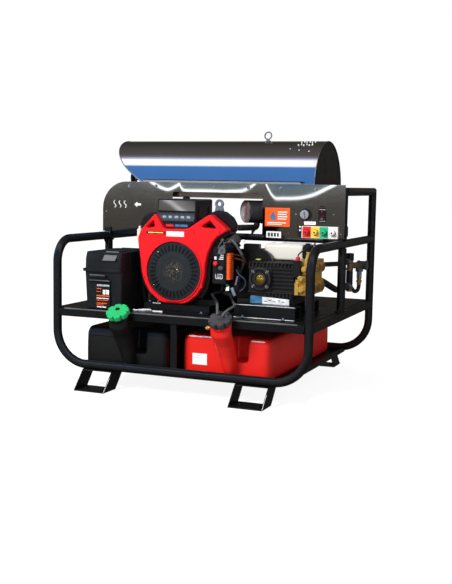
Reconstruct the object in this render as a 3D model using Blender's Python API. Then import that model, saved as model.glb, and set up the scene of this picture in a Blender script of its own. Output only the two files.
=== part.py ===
"""Hot-water pressure washer on a tube skid: V-twin engine, belt-driven pump, coil hood, two tanks and a battery."""

import math

import bmesh
import bpy
from mathutils import Matrix, Vector
from mathutils.geometry import tessellate_polygon

# Everything is in metres. X runs along the skid to the right, -Y is the front with the fan, +Z is up.
SHIFT = Vector((0.0014765, 0.0060501, 0.0))
GAP = 0.0004

# Skid frame
TUBE_R = 0.01905
RAIL_R = 0.016
POST_X = 0.59
HOOP_Y = 0.4976
BOTTOM_Z = 0.104
SIDE_Z = 0.6565
REAR_TOP_Z = 0.888
LOW_BEND = 0.15
HIGH_BEND = 0.10
MID_Y = -0.0305
MID_R = 0.019
SHELF_TOP = 0.3525
SHELF_RAIL_Z = 0.333
TRAY_X = 0.478
TRAY_Z = 0.086
CROSS_Z = 0.673
CROSS_R = 0.0155
FOOT_X = ((-0.456, -0.306), (0.274, 0.427))
FOOT_BOTTOM_Y = (0.475, 0.585)
FOOT_TOP_Y = (0.400, 0.505)
FOOT_T = 0.005

# Control panel and hood
PANEL_FRONT = -0.052
PANEL_T = 0.002
PANEL_TOP = 0.918
HOOD_R = 0.220
HOOD_Y = 0.200
HOOD_Z = 0.900
HOOD_T = 0.002
HOOD_RIGHT = 0.449
HOOD_LEFT_TOP = -0.603
HOOD_SLANT = (0.184, 3.55)
PAN_FLOOR = 0.848
COIL_R = 0.085
COIL_Z = 0.975
EYE = (0.145, 0.200)

# Engine
ENGINE_X = -0.062
ENGINE_Z = 0.532
FAN_FRONT = -0.405
FAN_BACK = -0.345
FAN_HOLE_R = 0.129
BLOCK_Y = (-0.3415, -0.065)
SHAFT_R = 0.0175
BASE_TOP = 0.410

# Pump and belt drive
PUMP_X = 0.328
PUMP_Z = 0.516
ENGINE_PULLEY_R = 0.045
PUMP_PULLEY_R = 0.085
BELT_Y = (-0.040, 0.004)
BELT_T = 0.008

# Tanks and battery
LEFT_TANK_X = (-0.470, -0.060)
RIGHT_TANK_X = (0.014, 0.432)
TANK_Y = (-0.455, 0.430)
TANK_Z = (0.0895, 0.272)
CAP_R = 0.0515
CAP_AXIS = Vector((0.0, -0.5, 0.8660254)).normalized()
BATTERY_X = (-0.462, -0.276)
BATTERY_Y = (-0.478, -0.200)
BATTERY_RIM = 0.520

AXES = {
    "X": Matrix(((0, 0, 1), (1, 0, 0), (0, 1, 0))),
    "Y": Matrix(((1, 0, 0), (0, 0, -1), (0, 1, 0))),
    "Z": Matrix.Identity(3),
}


def clear_scene():
    for obj in list(bpy.data.objects):
        bpy.data.objects.remove(obj, do_unlink=True)


def paint(obj, rgb, rough, metal):
    """Each part gets a material of its own."""
    material = bpy.data.materials.new(obj.name + "_material")
    material.use_nodes = True
    shader = material.node_tree.nodes["Principled BSDF"]
    shader.inputs["Base Color"].default_value = (*rgb, 1.0)
    shader.inputs["Roughness"].default_value = rough
    shader.inputs["Metallic"].default_value = metal
    material.diffuse_color = (*rgb, 1.0)
    obj.data.materials.append(material)
    return obj


def black_paint(obj):
    return paint(obj, (0.015, 0.015, 0.017), 0.35, 0.0)


def black_plastic(obj):
    return paint(obj, (0.02, 0.02, 0.022), 0.5, 0.0)


def steel(obj):
    return paint(obj, (0.62, 0.62, 0.63), 0.25, 1.0)


def brass(obj):
    return paint(obj, (0.72, 0.50, 0.18), 0.3, 1.0)


def rubber(obj):
    return paint(obj, (0.02, 0.02, 0.02), 0.7, 0.0)


def add_mesh(name, points, faces):
    """A closed mesh with its faces turned outwards."""
    mesh = bpy.data.meshes.new(name)
    mesh.from_pydata([tuple(p) for p in points], [], faces)
    shape = bmesh.new()
    shape.from_mesh(mesh)
    bmesh.ops.recalc_face_normals(shape, faces=shape.faces)
    if shape.calc_volume(signed=True) < 0:
        bmesh.ops.reverse_faces(shape, faces=shape.faces)
    shape.to_mesh(mesh)
    shape.free()
    obj = bpy.data.objects.new(name, mesh)
    bpy.context.collection.objects.link(obj)
    return obj


def smooth(obj, degrees=35):
    obj.data.shade_smooth()
    obj.data.set_sharp_from_angle(angle=math.radians(degrees))
    return obj


def bevel(obj, width, segments=2):
    modifier = obj.modifiers.new("Bevel", "BEVEL")
    modifier.width = width
    modifier.segments = segments
    modifier.limit_method = "ANGLE"
    modifier.angle_limit = math.radians(40)
    return obj


def combine(obj, other, operation):
    """Adds or cuts another shape, which then stays out of the render."""
    other.hide_render = True
    other.display_type = "WIRE"
    modifier = obj.modifiers.new(operation.title(), "BOOLEAN")
    modifier.operation = operation
    modifier.solver = "EXACT"
    modifier.object = other
    return obj


def box(name, low, high):
    x, y, z = zip(low, high)
    points = [(x[i], y[j], z[k]) for k in (0, 1) for j in (0, 1) for i in (0, 1)]
    faces = [(0, 1, 3, 2), (4, 5, 7, 6), (0, 1, 5, 4), (2, 3, 7, 6), (0, 2, 6, 4), (1, 3, 7, 5)]
    return add_mesh(name, points, faces)


def tray(name, low, high, wall, taper=0.0):
    """A box that is open at the top. The taper narrows its rim."""
    x, y, z = zip(low, high)
    points = []
    for inset, level, narrow in ((0, z[0], 0), (0, z[1], taper), (wall, z[1], taper), (wall, z[0] + wall, 0)):
        s = inset + narrow
        points += [(x[0] + s, y[0] + s, level), (x[1] - s, y[0] + s, level)]
        points += [(x[1] - s, y[1] - s, level), (x[0] + s, y[1] - s, level)]
    faces = [(0, 1, 2, 3), (12, 13, 14, 15)]
    for ring in (0, 4, 8):
        faces += [(ring + i, ring + (i + 1) % 4, ring + 4 + (i + 1) % 4, ring + 4 + i) for i in range(4)]
    return add_mesh(name, points, faces)


def extrude(name, loops, axis, low, high):
    """Flat loops, the first one the outline and the rest holes, drawn out along an axis."""
    turn = AXES[axis]
    flip = -1 if axis == "Y" else 1
    flat = [Vector((u, v, 0)) for loop in loops for u, v in loop]
    caps = tessellate_polygon([[Vector((u, v, 0)) for u, v in loop] for loop in loops])
    count = len(flat)
    points = [turn @ Vector((p.x, p.y, flip * level)) for level in (low, high) for p in flat]
    faces = [tuple(t) for t in caps] + [tuple(i + count for i in t) for t in caps]
    start = 0
    for loop in loops:
        size = len(loop)
        faces += [
            (start + i, start + (i + 1) % size, start + count + (i + 1) % size, start + count + i)
            for i in range(size)
        ]
        start += size
    return add_mesh(name, points, faces)


def circle(u, v, radius, count, start=0.0, end=360.0):
    """Points round a circle, or along an arc when the ends differ from a full turn."""
    whole = abs(end - start) >= 360
    steps = count if whole else count - 1
    angles = [math.radians(start + (end - start) * i / steps) for i in range(count)]
    return [(u + radius * math.cos(a), v + radius * math.sin(a)) for a in angles]


def rectangle(u0, v0, u1, v1):
    return [(u0, v0), (u1, v0), (u1, v1), (u0, v1)]


def cup(name, outer, inner, rim, floor, back):
    """A shallow pan seen along Y: a wall between two loops, closed by a floor at the back."""
    count = len(outer)
    caps = tessellate_polygon([[Vector((u, v, 0)) for u, v in loop] for loop in (outer, inner)])
    disc = tessellate_polygon([[Vector((u, v, 0)) for u, v in inner]])
    points = [(u, y, v) for loop, y in ((outer, rim), (inner, rim), (inner, floor), (outer, back)) for u, v in loop]
    faces = [tuple(t) for t in caps] + [tuple(i + 2 * count for i in t) for t in disc]
    faces.append(tuple(range(3 * count, 4 * count)))
    for a, b in ((count, 2 * count), (3 * count, 0)):
        faces += [(a + i, a + (i + 1) % count, b + (i + 1) % count, b + i) for i in range(count)]
    return add_mesh(name, points, faces)


def lathe(name, profile, centre, axis, count):
    """A profile of (radius, height) pairs turned round an axis."""
    axis = Vector(axis).normalized()
    side = axis.orthogonal().normalized()
    other = axis.cross(side)
    points = []
    rings = []
    for radius, height in profile:
        middle = Vector(centre) + axis * height
        if radius == 0:
            rings.append([len(points)] * count)
            points.append(middle)
            continue
        rings.append(list(range(len(points), len(points) + count)))
        for i in range(count):
            a = 2 * math.pi * (i + 0.5) / count
            points.append(middle + (side * math.cos(a) + other * math.sin(a)) * radius)
    closed = profile[0][0] != 0
    pairs = list(zip(rings, rings[1:]))
    if closed:
        pairs.append((rings[-1], rings[0]))
    faces = []
    for a, b in pairs:
        for i in range(count):
            j = (i + 1) % count
            corners = [a[i], a[j], b[j], b[i]]
            corners = [c for n, c in enumerate(corners) if c not in corners[:n]]
            if len(corners) > 2:
                faces.append(tuple(corners))
    return smooth(add_mesh(name, points, faces))


def rod(name, start, end, radius, count=16):
    """A plain round bar between two points."""
    along = Vector(end) - Vector(start)
    profile = [(0, 0), (radius, 0), (radius, along.length), (0, along.length)]
    return lathe(name, profile, start, along, count)


def rounded(corners, radii, steps):
    """A path through the corners, each one rounded with its own bend radius."""
    path = [Vector(corners[0])]
    for before, corner, after, radius in zip(corners, corners[1:], corners[2:], radii):
        corner = Vector(corner)
        into = (Vector(before) - corner).normalized()
        out = (Vector(after) - corner).normalized()
        if radius == 0:
            path.append(corner)
            continue
        half = into.angle(out) / 2
        centre = corner + (into + out).normalized() * radius / math.sin(half)
        first = corner + into * radius / math.tan(half) - centre
        last = corner + out * radius / math.tan(half) - centre
        turn = first.angle(last)
        for i in range(steps + 1):
            a = turn * i / steps
            path.append(centre + (first * math.sin(turn - a) + last * math.sin(a)) / math.sin(turn))
    path.append(Vector(corners[-1]))
    return path


def tube(name, path, radius, sides=12, closed=False):
    """A round bar along a path, mitred where the path turns."""
    count = len(path)
    ahead = [(path[(i + 1) % count] - path[i]).normalized() for i in range(count)]
    behind = [(path[i] - path[i - 1]).normalized() for i in range(count)]
    if not closed:
        ahead[-1] = behind[-1]
        behind[0] = ahead[0]
    side = ahead[0].orthogonal().normalized()
    points = []
    for i in range(count):
        if i:
            side = (side - ahead[i - 1] * side.dot(ahead[i - 1])).normalized()
        other = behind[i].cross(side).normalized()
        mitre = (ahead[i] + behind[i]).normalized()
        for k in range(sides):
            a = 2 * math.pi * k / sides
            across = (side * math.cos(a) + other * math.sin(a)) * radius
            along = -across.dot(mitre) / behind[i].dot(mitre)
            points.append(path[i] + across + behind[i] * along)
        side = side - mitre * side.dot(mitre) / 1.0
        side = (side - ahead[i] * side.dot(ahead[i])).normalized()
    faces = []
    for i in range(count if closed else count - 1):
        a, b = i * sides, (i + 1) % count * sides
        faces += [(a + k, a + (k + 1) % sides, b + (k + 1) % sides, b + k) for k in range(sides)]
    if not closed:
        faces += [tuple(range(sides)), tuple(range((count - 1) * sides, count * sides))]
    return smooth(add_mesh(name, points, faces))


def loft(name, rings):
    """Rings of equal count joined one to the next, with both ends closed."""
    sides = len(rings[0])
    points = [p for ring in rings for p in ring]
    faces = [tuple(range(sides)), tuple(range(len(points) - sides, len(points)))]
    for a in range(0, len(points) - sides, sides):
        b = a + sides
        faces += [(a + k, a + (k + 1) % sides, b + (k + 1) % sides, b + k) for k in range(sides)]
    return add_mesh(name, points, faces)


# ---- Skid frame ----


def front_hoop():
    """Bottom front tube, the two front posts and the top side rails, bent from one tube."""
    end_y = HOOP_Y - TUBE_R - GAP
    corners = [
        (-POST_X, end_y, SIDE_Z),
        (-POST_X, -HOOP_Y, SIDE_Z),
        (-POST_X, -HOOP_Y, BOTTOM_Z),
        (POST_X, -HOOP_Y, BOTTOM_Z),
        (POST_X, -HOOP_Y, SIDE_Z),
        (POST_X, end_y, SIDE_Z),
    ]
    radii = (HIGH_BEND, LOW_BEND, LOW_BEND, HIGH_BEND)
    return black_paint(tube("front_hoop", rounded(corners, radii, 6), TUBE_R))


def rear_hoop():
    """Bottom rear tube and tall rear posts, mitred into the bars that run forward, with a cross rail."""
    front_y = MID_Y + MID_R + GAP
    corners = [
        (-POST_X, 0.360, REAR_TOP_Z),
        (-POST_X, HOOP_Y, REAR_TOP_Z),
        (-POST_X, HOOP_Y, BOTTOM_Z),
        (POST_X, HOOP_Y, BOTTOM_Z),
        (POST_X, HOOP_Y, REAR_TOP_Z),
        (POST_X, front_y, REAR_TOP_Z),
    ]
    hoop = tube("rear_hoop", rounded(corners, (0, LOW_BEND, LOW_BEND, 0), 6), TUBE_R)
    rail = rod("rear_hoop_rail", (-POST_X, 0.441, REAR_TOP_Z), (POST_X, 0.441, REAR_TOP_Z), CROSS_R, 12)
    return black_paint(combine(hoop, rail, "UNION"))


def shelf():
    """The flat shelf that carries engine, pump and battery, welded on its four rails."""
    x, y, cut = POST_X - 0.005, HOOP_Y - 0.006, 0.026
    outline = [(-x + cut, -y), (x - cut, -y), (x, -y + cut), (x, y - cut)]
    outline += [(x - cut, y), (-x + cut, y), (-x, y - cut), (-x, -y + cut)]
    plate = extrude("shelf", [outline], "Z", SHELF_TOP - 0.006, SHELF_TOP)
    end = POST_X - TUBE_R - GAP
    for n, level in enumerate((-HOOP_Y, HOOP_Y)):
        low, high = (-end, level - RAIL_R, SHELF_RAIL_Z - RAIL_R), (end, level + RAIL_R, SHELF_TOP)
        rail = box(f"shelf_rail_x{n}", low, high)
        combine(plate, rail, "UNION")
    end = HOOP_Y - TUBE_R - GAP
    for n, level in enumerate((-POST_X, POST_X)):
        low, high = (level - RAIL_R, -end, SHELF_RAIL_Z - RAIL_R), (level + RAIL_R, end, SHELF_TOP)
        rail = box(f"shelf_rail_y{n}", low, high)
        combine(plate, rail, "UNION")
    return black_paint(plate)


def bottom_tray():
    """Sheet tray under the tanks, with a lip turned up at each end."""
    t, lip = 0.003, 0.024
    outline = [(-TRAY_X, TRAY_Z), (TRAY_X, TRAY_Z), (TRAY_X, TRAY_Z + lip), (TRAY_X - t, TRAY_Z + lip)]
    outline += [(TRAY_X - t, TRAY_Z + t), (-TRAY_X + t, TRAY_Z + t), (-TRAY_X + t, TRAY_Z + lip), (-TRAY_X, TRAY_Z + lip)]
    y = HOOP_Y - TUBE_R - GAP
    return black_paint(extrude("bottom_tray", [outline], "Y", -y, y))


def tank_strut():
    low, high = BOTTOM_Z + TUBE_R + GAP, SHELF_RAIL_Z - RAIL_R - GAP
    return black_paint(box("tank_strut", (-0.026, -HOOP_Y - 0.006, low), (0.002, -HOOP_Y + 0.006, high)))


def mid_posts():
    """Posts on the shelf rails below the side rails, and panel posts above them."""
    for name, side in (("left", -1), ("right", 1)):
        x = side * POST_X
        low = (x, MID_Y, SHELF_TOP + GAP)
        black_paint(rod(f"mid_post_{name}", low, (x, MID_Y, SIDE_Z - TUBE_R - GAP), MID_R))
        low = (x, MID_Y, SIDE_Z + TUBE_R + GAP)
        top = 0.810 if side < 0 else REAR_TOP_Z + TUBE_R
        black_paint(rod(f"panel_post_{name}", low, (x, MID_Y, top), MID_R))


def panel_crossbar():
    end = POST_X - TUBE_R - GAP
    return black_paint(rod("panel_crossbar", (-end, MID_Y, CROSS_Z), (end, MID_Y, CROSS_Z), CROSS_R))


def feet():
    """Open steel loops that splay outwards under the bottom tubes."""
    top = BOTTOM_Z - TUBE_R - GAP
    t = FOOT_T
    for y_name, side in (("front", -1), ("rear", 1)):
        for x_name, (left, right) in zip(("left", "right"), FOOT_X):
            low_y = [side * y for y in FOOT_BOTTOM_Y]
            high_y = [side * y for y in FOOT_TOP_Y]
            rings = []
            for n in (0, 1):
                outer = [(left, low_y[n], 0), (right, low_y[n], 0), (right, high_y[n], top), (left, high_y[n], top)]
                rise = (high_y[n] - low_y[n]) / top
                low_in = low_y[n] + rise * t
                high_in = high_y[n] - rise * t
                inner = [(left + t, low_in, t), (right - t, low_in, t)]
                inner += [(right - t, high_in, top - t), (left + t, high_in, top - t)]
                rings.append(outer + inner)
            faces = []
            for i in range(4):
                j = (i + 1) % 4
                faces += [(i, j, 4 + j, 4 + i), (8 + i, 8 + j, 12 + j, 12 + i)]
                faces += [(i, j, 8 + j, 8 + i), (4 + i, 4 + j, 12 + j, 12 + i)]
            black_paint(add_mesh(f"foot_{y_name}_{x_name}", rings[0] + rings[1], faces))


# ---- Control panel and hood ----


def control_panel():
    """One stainless sheet with two lobes joined by a narrow strip, and a slot for the rocker switch."""
    outline = [(-0.612, 0.677), (-0.250, 0.677), (-0.237, 0.690), (-0.237, 0.862), (-0.226, 0.873)]
    outline += [(0.204, 0.873), (0.216, 0.861), (0.216, 0.672), (0.566, 0.672), (0.566, 0.677)]
    outline += [(0.602, 0.677), (0.602, PANEL_TOP)]
    outline += circle(-0.482, PANEL_TOP - 0.130, 0.130, 9, 90, 180)
    slot = rectangle(0.484, 0.7535, 0.514, 0.8105)
    sheet = extrude("control_panel", [outline, slot], "Y", PANEL_FRONT, PANEL_FRONT + PANEL_T)
    return paint(sheet, (0.62, 0.60, 0.57), 0.22, 1.0)


def hood():
    """Half-round mirror hood over the coil, cut back in a curve at its left end."""
    count = 25
    points = []
    for i in range(count):
        a = math.pi * i / (count - 1)
        for radius in (HOOD_R, HOOD_R - HOOD_T):
            y, z = HOOD_Y - radius * math.cos(a), HOOD_Z + radius * math.sin(a)
            drop = HOOD_Z + HOOD_R - z
            left = HOOD_LEFT_TOP + HOOD_SLANT[0] * drop + HOOD_SLANT[1] * drop * drop
            points += [(left, y, z), (HOOD_RIGHT, y, z)]
    faces = [(0, 1, 3, 2), (4 * count - 4, 4 * count - 3, 4 * count - 1, 4 * count - 2)]
    for i in range(0, 4 * count - 4, 4):
        faces += [(i, i + 1, i + 5, i + 4), (i + 2, i + 3, i + 7, i + 6)]
        faces += [(i, i + 2, i + 6, i + 4), (i + 1, i + 3, i + 7, i + 5)]
    return steel(smooth(add_mesh("hood", points, faces)))


def hood_pan():
    """Shallow pan that closes the hood below, with the half-round end plate on its right."""
    low = (-0.396, HOOD_Y - HOOD_R + 0.001, PAN_FLOOR)
    pan = tray("hood_pan", low, (HOOD_RIGHT, HOOD_Y + HOOD_R - 0.001, HOOD_Z - GAP), 0.0025)
    arc = circle(HOOD_Y, HOOD_Z, HOOD_R - HOOD_T - 0.001, 25, 0, 180)
    arc += [(HOOD_Y - 0.210, PAN_FLOOR + 0.02), (HOOD_Y + 0.210, PAN_FLOOR + 0.02)]
    plate = extrude("hood_pan_end", [arc], "X", HOOD_RIGHT - 0.014, HOOD_RIGHT - 0.001)
    return steel(combine(pan, plate, "UNION"))


def eye_bolt():
    """Lifting eye on top of the hood."""
    x, y = EYE
    ring_z = 1.1465
    ring = [Vector((x + 0.017 * math.cos(a), y, ring_z + 0.017 * math.sin(a))) for a in [math.tau * i / 16 for i in range(16)]]
    eye = tube("eye_bolt", ring, 0.0045, 8, closed=True)
    top = HOOD_Z + HOOD_R + GAP
    collar = lathe("eye_bolt_collar", [(0, 0), (0.013, 0), (0.013, 0.005), (0.006, 0.009), (0, 0.009)], (x, y, top), (0, 0, 1), 12)
    return steel(combine(eye, collar, "UNION"))


def heating_coil():
    """Helical steel tube that heats the water inside the hood."""
    turns, steps = 12, 12
    path = []
    for i in range(turns * steps + 1):
        a = math.tau * i / steps
        x = -0.345 + 0.73 * i / (turns * steps)
        path.append(Vector((x, HOOD_Y + COIL_R * math.cos(a), COIL_Z + COIL_R * math.sin(a))))
    return paint(tube("heating_coil", path, 0.012, 6), (0.25, 0.24, 0.23), 0.5, 1.0)


def burner():
    """Burner blower at the left end of the hood, with its blast tube against the pan."""
    profile = [(0, 0), (0.045, 0), (0.045, 0.035), (0.080, 0.040), (0.080, 0.115), (0, 0.115)]
    body = lathe("burner", profile, (-0.568, 0.205, 0.812), (1, 0, 0), 20)
    blast = rod("burner_blast", (-0.470, 0.205, 0.874), (-0.396 - GAP, 0.205, 0.874), 0.023, 16)
    return paint(combine(body, blast, "UNION"), (0.05, 0.05, 0.055), 0.4, 0.0)


def muffler():
    """Exhaust silencer across the back of the engine, its left end on a slant, with its inlet pipe."""
    rings = []
    for right in (False, True):
        ring = []
        for i in range(24):
            a = math.tau * i / 24
            across = 0.0525 * math.cos(a)
            ring.append((0.355 if right else 0.107 - 0.932 * across, 0.022 + across, 0.788 + 0.0525 * math.sin(a)))
        rings.append(ring)
    body = loft("muffler", rings)
    path = rounded([(0.165, 0.020, 0.76), (0.165, 0.012, 0.716), (0.115, -0.085, 0.716)], (0.015,), 4)
    pipe = tube("muffler_pipe", path, 0.014, 10)
    return paint(combine(body, pipe, "UNION"), (0.03, 0.03, 0.03), 0.5, 0.6)


def thermostat_knob():
    """Round dial with a raised grip bar."""
    x, z = 0.419, 0.784
    face = PANEL_FRONT - GAP
    knob = lathe("thermostat_knob", [(0, 0), (0.022, 0), (0.022, 0.009), (0.020, 0.012), (0, 0.012)], (x, face, z), (0, -1, 0), 24)
    grip = box("thermostat_knob_grip", (x - 0.004, face - 0.022, z - 0.017), (x + 0.004, face - 0.006, z + 0.017))
    return paint(combine(knob, grip, "UNION"), (0.75, 0.75, 0.76), 0.3, 0.8)


def burner_switch():
    """Rocker that tilts in the slot of the panel."""
    face = PANEL_FRONT
    profile = [(face - 0.0075, 0.7565), (face - 0.0045, 0.782), (face - 0.0075, 0.8075)]
    profile += [(face + 0.006, 0.8045), (face + 0.0075, 0.782), (face + 0.006, 0.7595)]
    points = [(x, y, z) for x in (0.4865, 0.5115) for y, z in profile]
    faces = [(0, 1, 2, 3, 4, 5), (6, 7, 8, 9, 10, 11)]
    faces += [(i, (i + 1) % 6, 6 + (i + 1) % 6, 6 + i) for i in range(6)]
    return paint(add_mesh("burner_switch", points, faces), (0.35, 0.02, 0.02), 0.35, 0.0)


NOZZLES = (
    ("red", 0.432, (0.75, 0.04, 0.03)),
    ("yellow", 0.472, (0.85, 0.65, 0.05)),
    ("green", 0.512, (0.05, 0.45, 0.12)),
    ("white", 0.552, (0.8, 0.8, 0.8)),
)
NOZZLE_Z = 0.706


def nozzle_holder():
    """Strip on the panel that holds four quick-connect spray nozzles."""
    loops = [rectangle(0.409, 0.680, 0.575, 0.733)]
    loops += [circle(x, NOZZLE_Z, 0.0095, 16) for _, x, _ in NOZZLES]
    holder = extrude("nozzle_holder", loops, "Y", PANEL_FRONT - 0.0125, PANEL_FRONT - GAP)
    return black_plastic(holder)


def nozzles():
    for colour, x, rgb in NOZZLES:
        profile = [(0, 0), (0.0085, 0), (0.0085, 0.0126), (0.013, 0.0132), (0.013, 0.020), (0.0095, 0.022)]
        profile += [(0.0095, 0.030), (0, 0.030)]
        paint(lathe(f"nozzle_{colour}", profile, (x, PANEL_FRONT - GAP, NOZZLE_Z), (0, -1, 0), 14), rgb, 0.4, 0.0)


# ---- Engine ----


def riser(name, x0, x1, front):
    """Mounting plate with two hollow risers across it."""
    low, step, top = SHELF_TOP + GAP, SHELF_TOP + 0.0055, BASE_TOP
    outline = [(-0.435, low), (-0.075, low), (-0.075, step), (-0.085, step), (-0.085, top), (-0.165, top)]
    outline += [(-0.165, step), (front + 0.080, step), (front + 0.080, top), (front, top), (front, step), (-0.435, step)]
    holes = [rectangle(y + 0.004, step, y + 0.076, top - 0.004) for y in (front, -0.165)]
    return black_paint(extrude(name, [outline] + holes, "X", x0, x1))


def engine_bases():
    riser("engine_base", -0.205, 0.115, -0.3435)
    riser("pump_base", 0.235, 0.505, -0.425)


def engine_block():
    """Crankcase with two slanted faces for the cylinders and a bore for the crankshaft."""
    half = [(0.105, -0.1215), (0.125, -0.065), (0.125, 0.0376), (0.0326, 0.130)]
    outline = [(ENGINE_X + u, ENGINE_Z + v) for u, v in half]
    outline += [(ENGINE_X - u, ENGINE_Z + v) for u, v in reversed(half)]
    bore = circle(ENGINE_X, ENGINE_Z, SHAFT_R + 0.0008, 24)
    block = extrude("engine_block", [outline, bore], "Y", *BLOCK_Y)
    return paint(block, (0.16, 0.16, 0.17), 0.5, 0.8)


def cylinders():
    """Finned cylinders with their heads, 45 degrees to each side."""
    for name, side in (("left", -1), ("right", 1)):
        edge = [(0.1160, 0.052)]
        for n in range(6):
            a = 0.122 + n * 0.013
            edge += [(a, 0.052), (a, 0.064), (a + 0.005, 0.064), (a + 0.005, 0.052)]
        edge += [(0.200, 0.056), (0.232, 0.050), (0.238, 0.040)]
        comb = edge + [(a, -b) for a, b in reversed(edge)]
        turn = math.sqrt(0.5)
        outline = [(ENGINE_X + side * (a - b) * turn, ENGINE_Z + (a + b) * turn) for a, b in comb]
        cylinder = extrude(f"cylinder_{name}", [outline], "Y", -0.305, -0.100)
        paint(cylinder, (0.10, 0.10, 0.105), 0.5, 0.7)


FAN_OUTLINE = (
    (-0.240, 0.672), (-0.222, 0.712), (-0.160, 0.777), (-0.150, 0.777), (-0.112, 0.715), (-0.001, 0.718),
    (0.098, 0.781), (0.108, 0.781), (0.184, 0.722), (0.180, 0.712), (0.138, 0.687), (0.118, 0.662),
    (0.096, 0.614), (0.086, 0.562), (0.083, 0.515), (0.073, 0.470), (0.048, 0.430), (0.004, 0.397),
    (-0.020, 0.3905), (-0.110, 0.3905), (-0.132, 0.397), (-0.178, 0.432), (-0.204, 0.475), (-0.219, 0.520),
    (-0.226, 0.580), (-0.236, 0.645),
)


def fan_cover():
    """Red fan shroud: a ring round the fan with an ear to each cylinder head and a window in each ear."""
    windows = [
        [(0.055, 0.722), (0.146, 0.722), (0.106, 0.757)],
        [(-0.205, 0.712), (-0.150, 0.722), (-0.158, 0.756)],
    ]
    hole = circle(ENGINE_X, ENGINE_Z, FAN_HOLE_R, 40)
    cover = extrude("fan_cover", [list(FAN_OUTLINE), hole] + windows, "Y", FAN_FRONT, FAN_BACK)
    return paint(cover, (0.72, 0.025, 0.02), 0.3, 0.0)


def fan_guard():
    """Black slotted disc in front of the fan."""
    loops = [circle(ENGINE_X, ENGINE_Z, FAN_HOLE_R - 0.001, 40)]
    for n in range(12):
        a = 30 * n
        inner = circle(ENGINE_X, ENGINE_Z, 0.052, 3, a + 5, a + 25)
        outer = circle(ENGINE_X, ENGINE_Z, 0.104, 3, a + 25, a + 5)
        loops.append(inner + outer)
    guard = extrude("fan_guard", loops, "Y", FAN_FRONT + 0.002, FAN_FRONT + 0.006)
    return black_plastic(guard)


def flywheel_fan():
    """Flywheel with cooling blades, on the front end of the crankshaft."""
    outline = []
    for n in range(16):
        a = 22.5 * n
        outline += circle(ENGINE_X, ENGINE_Z, 0.080, 2, a, a + 9)
        outline += circle(ENGINE_X, ENGINE_Z, 0.112, 2, a + 12, a + 17)
    wheel = extrude("flywheel_fan", [outline], "Y", -0.392, FAN_BACK - GAP)
    return paint(wheel, (0.35, 0.35, 0.36), 0.45, 0.9)


def crankshaft():
    """Engine shaft with the small belt pulley keyed on its rear end."""
    y = -FAN_BACK
    grooves = [(SHAFT_R, 0.285), (0.045, 0.285), (0.045, 0.297), (0.038, 0.3035), (0.045, 0.310)]
    grooves += [(0.045, 0.318), (0.038, 0.3245), (0.045, 0.331), (0.045, 0.343), (0.024, 0.343), (0.024, 0.360)]
    profile = [(0, 0), (SHAFT_R, 0)] + grooves[0:] + [(0, 0.360)]
    shaft = lathe("crankshaft", profile, (ENGINE_X, -y, ENGINE_Z), (0, 1, 0), 24)
    return paint(shaft, (0.4, 0.4, 0.41), 0.4, 1.0)


def air_cleaner():
    """Air filter housing in the V of the engine."""
    outline = [(-0.104, 0.7205), (-0.008, 0.7205), (0.028, 0.7420), (0.028, 0.841), (0.024, 0.845)]
    outline += [(-0.155, 0.845), (-0.159, 0.841), (-0.159, 0.790), (-0.137, 0.780)]
    return black_plastic(bevel(extrude("air_cleaner", [outline], "Y", -0.372, -0.190), 0.003, 2))


def control_box():
    """Engine control box beside the fan cover."""
    return black_plastic(bevel(box("control_box", (0.1140, -0.385, 0.485), (0.176, -0.3065, 0.645)), 0.005, 2))


def ignition_key():
    x, z, y = 0.155, 0.556, -0.385 - GAP
    lock = lathe("ignition_key", [(0, 0), (0.010, 0), (0.010, 0.005), (0, 0.005)], (x, y, z), (0, -1, 0), 14)
    bow = box("ignition_key_bow", (x - 0.0015, y - 0.026, z - 0.010), (x + 0.0015, y - 0.003, z + 0.010))
    return steel(combine(lock, bow, "UNION"))


def choke_knob():
    profile = [(0, 0), (0.004, 0), (0.004, 0.006), (0.009, 0.008), (0.010, 0.016), (0, 0.018)]
    knob = lathe("choke_knob", profile, (0.1335, -0.385 - GAP, 0.575), (0, -1, 0), 14)
    return paint(knob, (0.5, 0.02, 0.02), 0.4, 0.0)


# ---- Pump and belt drive ----


def pump_crankcase():
    """Cast pump body with cooling ribs above and below, a bearing cover and a bore for its shaft."""
    low, high = BASE_TOP + GAP, 0.586
    outline = [(0.284, low), (0.468, low), (0.468, 0.440), (0.474, 0.446), (0.474, high - 0.008)]
    for n in range(7):
        x = 0.464 - n * 0.027
        outline += [(x, high - 0.008), (x, high), (x - 0.013, high), (x - 0.013, high - 0.008)]
    outline += [(0.274, high - 0.010), (0.266, 0.560), (0.266, 0.455), (0.284, 0.440)]
    body = extrude("pump_crankcase", [outline], "Y", -0.360, -0.120)
    cover = lathe("pump_crankcase_cover", [(0, 0), (0.050, 0), (0.050, 0.018), (0.044, 0.022), (0, 0.022)],
                  (PUMP_X, -0.355, PUMP_Z), (0, -1, 0), 24)
    bore = rod("pump_crankcase_bore", (PUMP_X, -0.20, PUMP_Z), (PUMP_X, -0.10, PUMP_Z), 0.0150, 20)
    combine(body, cover, "UNION")
    combine(body, bore, "DIFFERENCE")
    return paint(body, (0.03, 0.03, 0.03), 0.45, 0.3)


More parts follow.
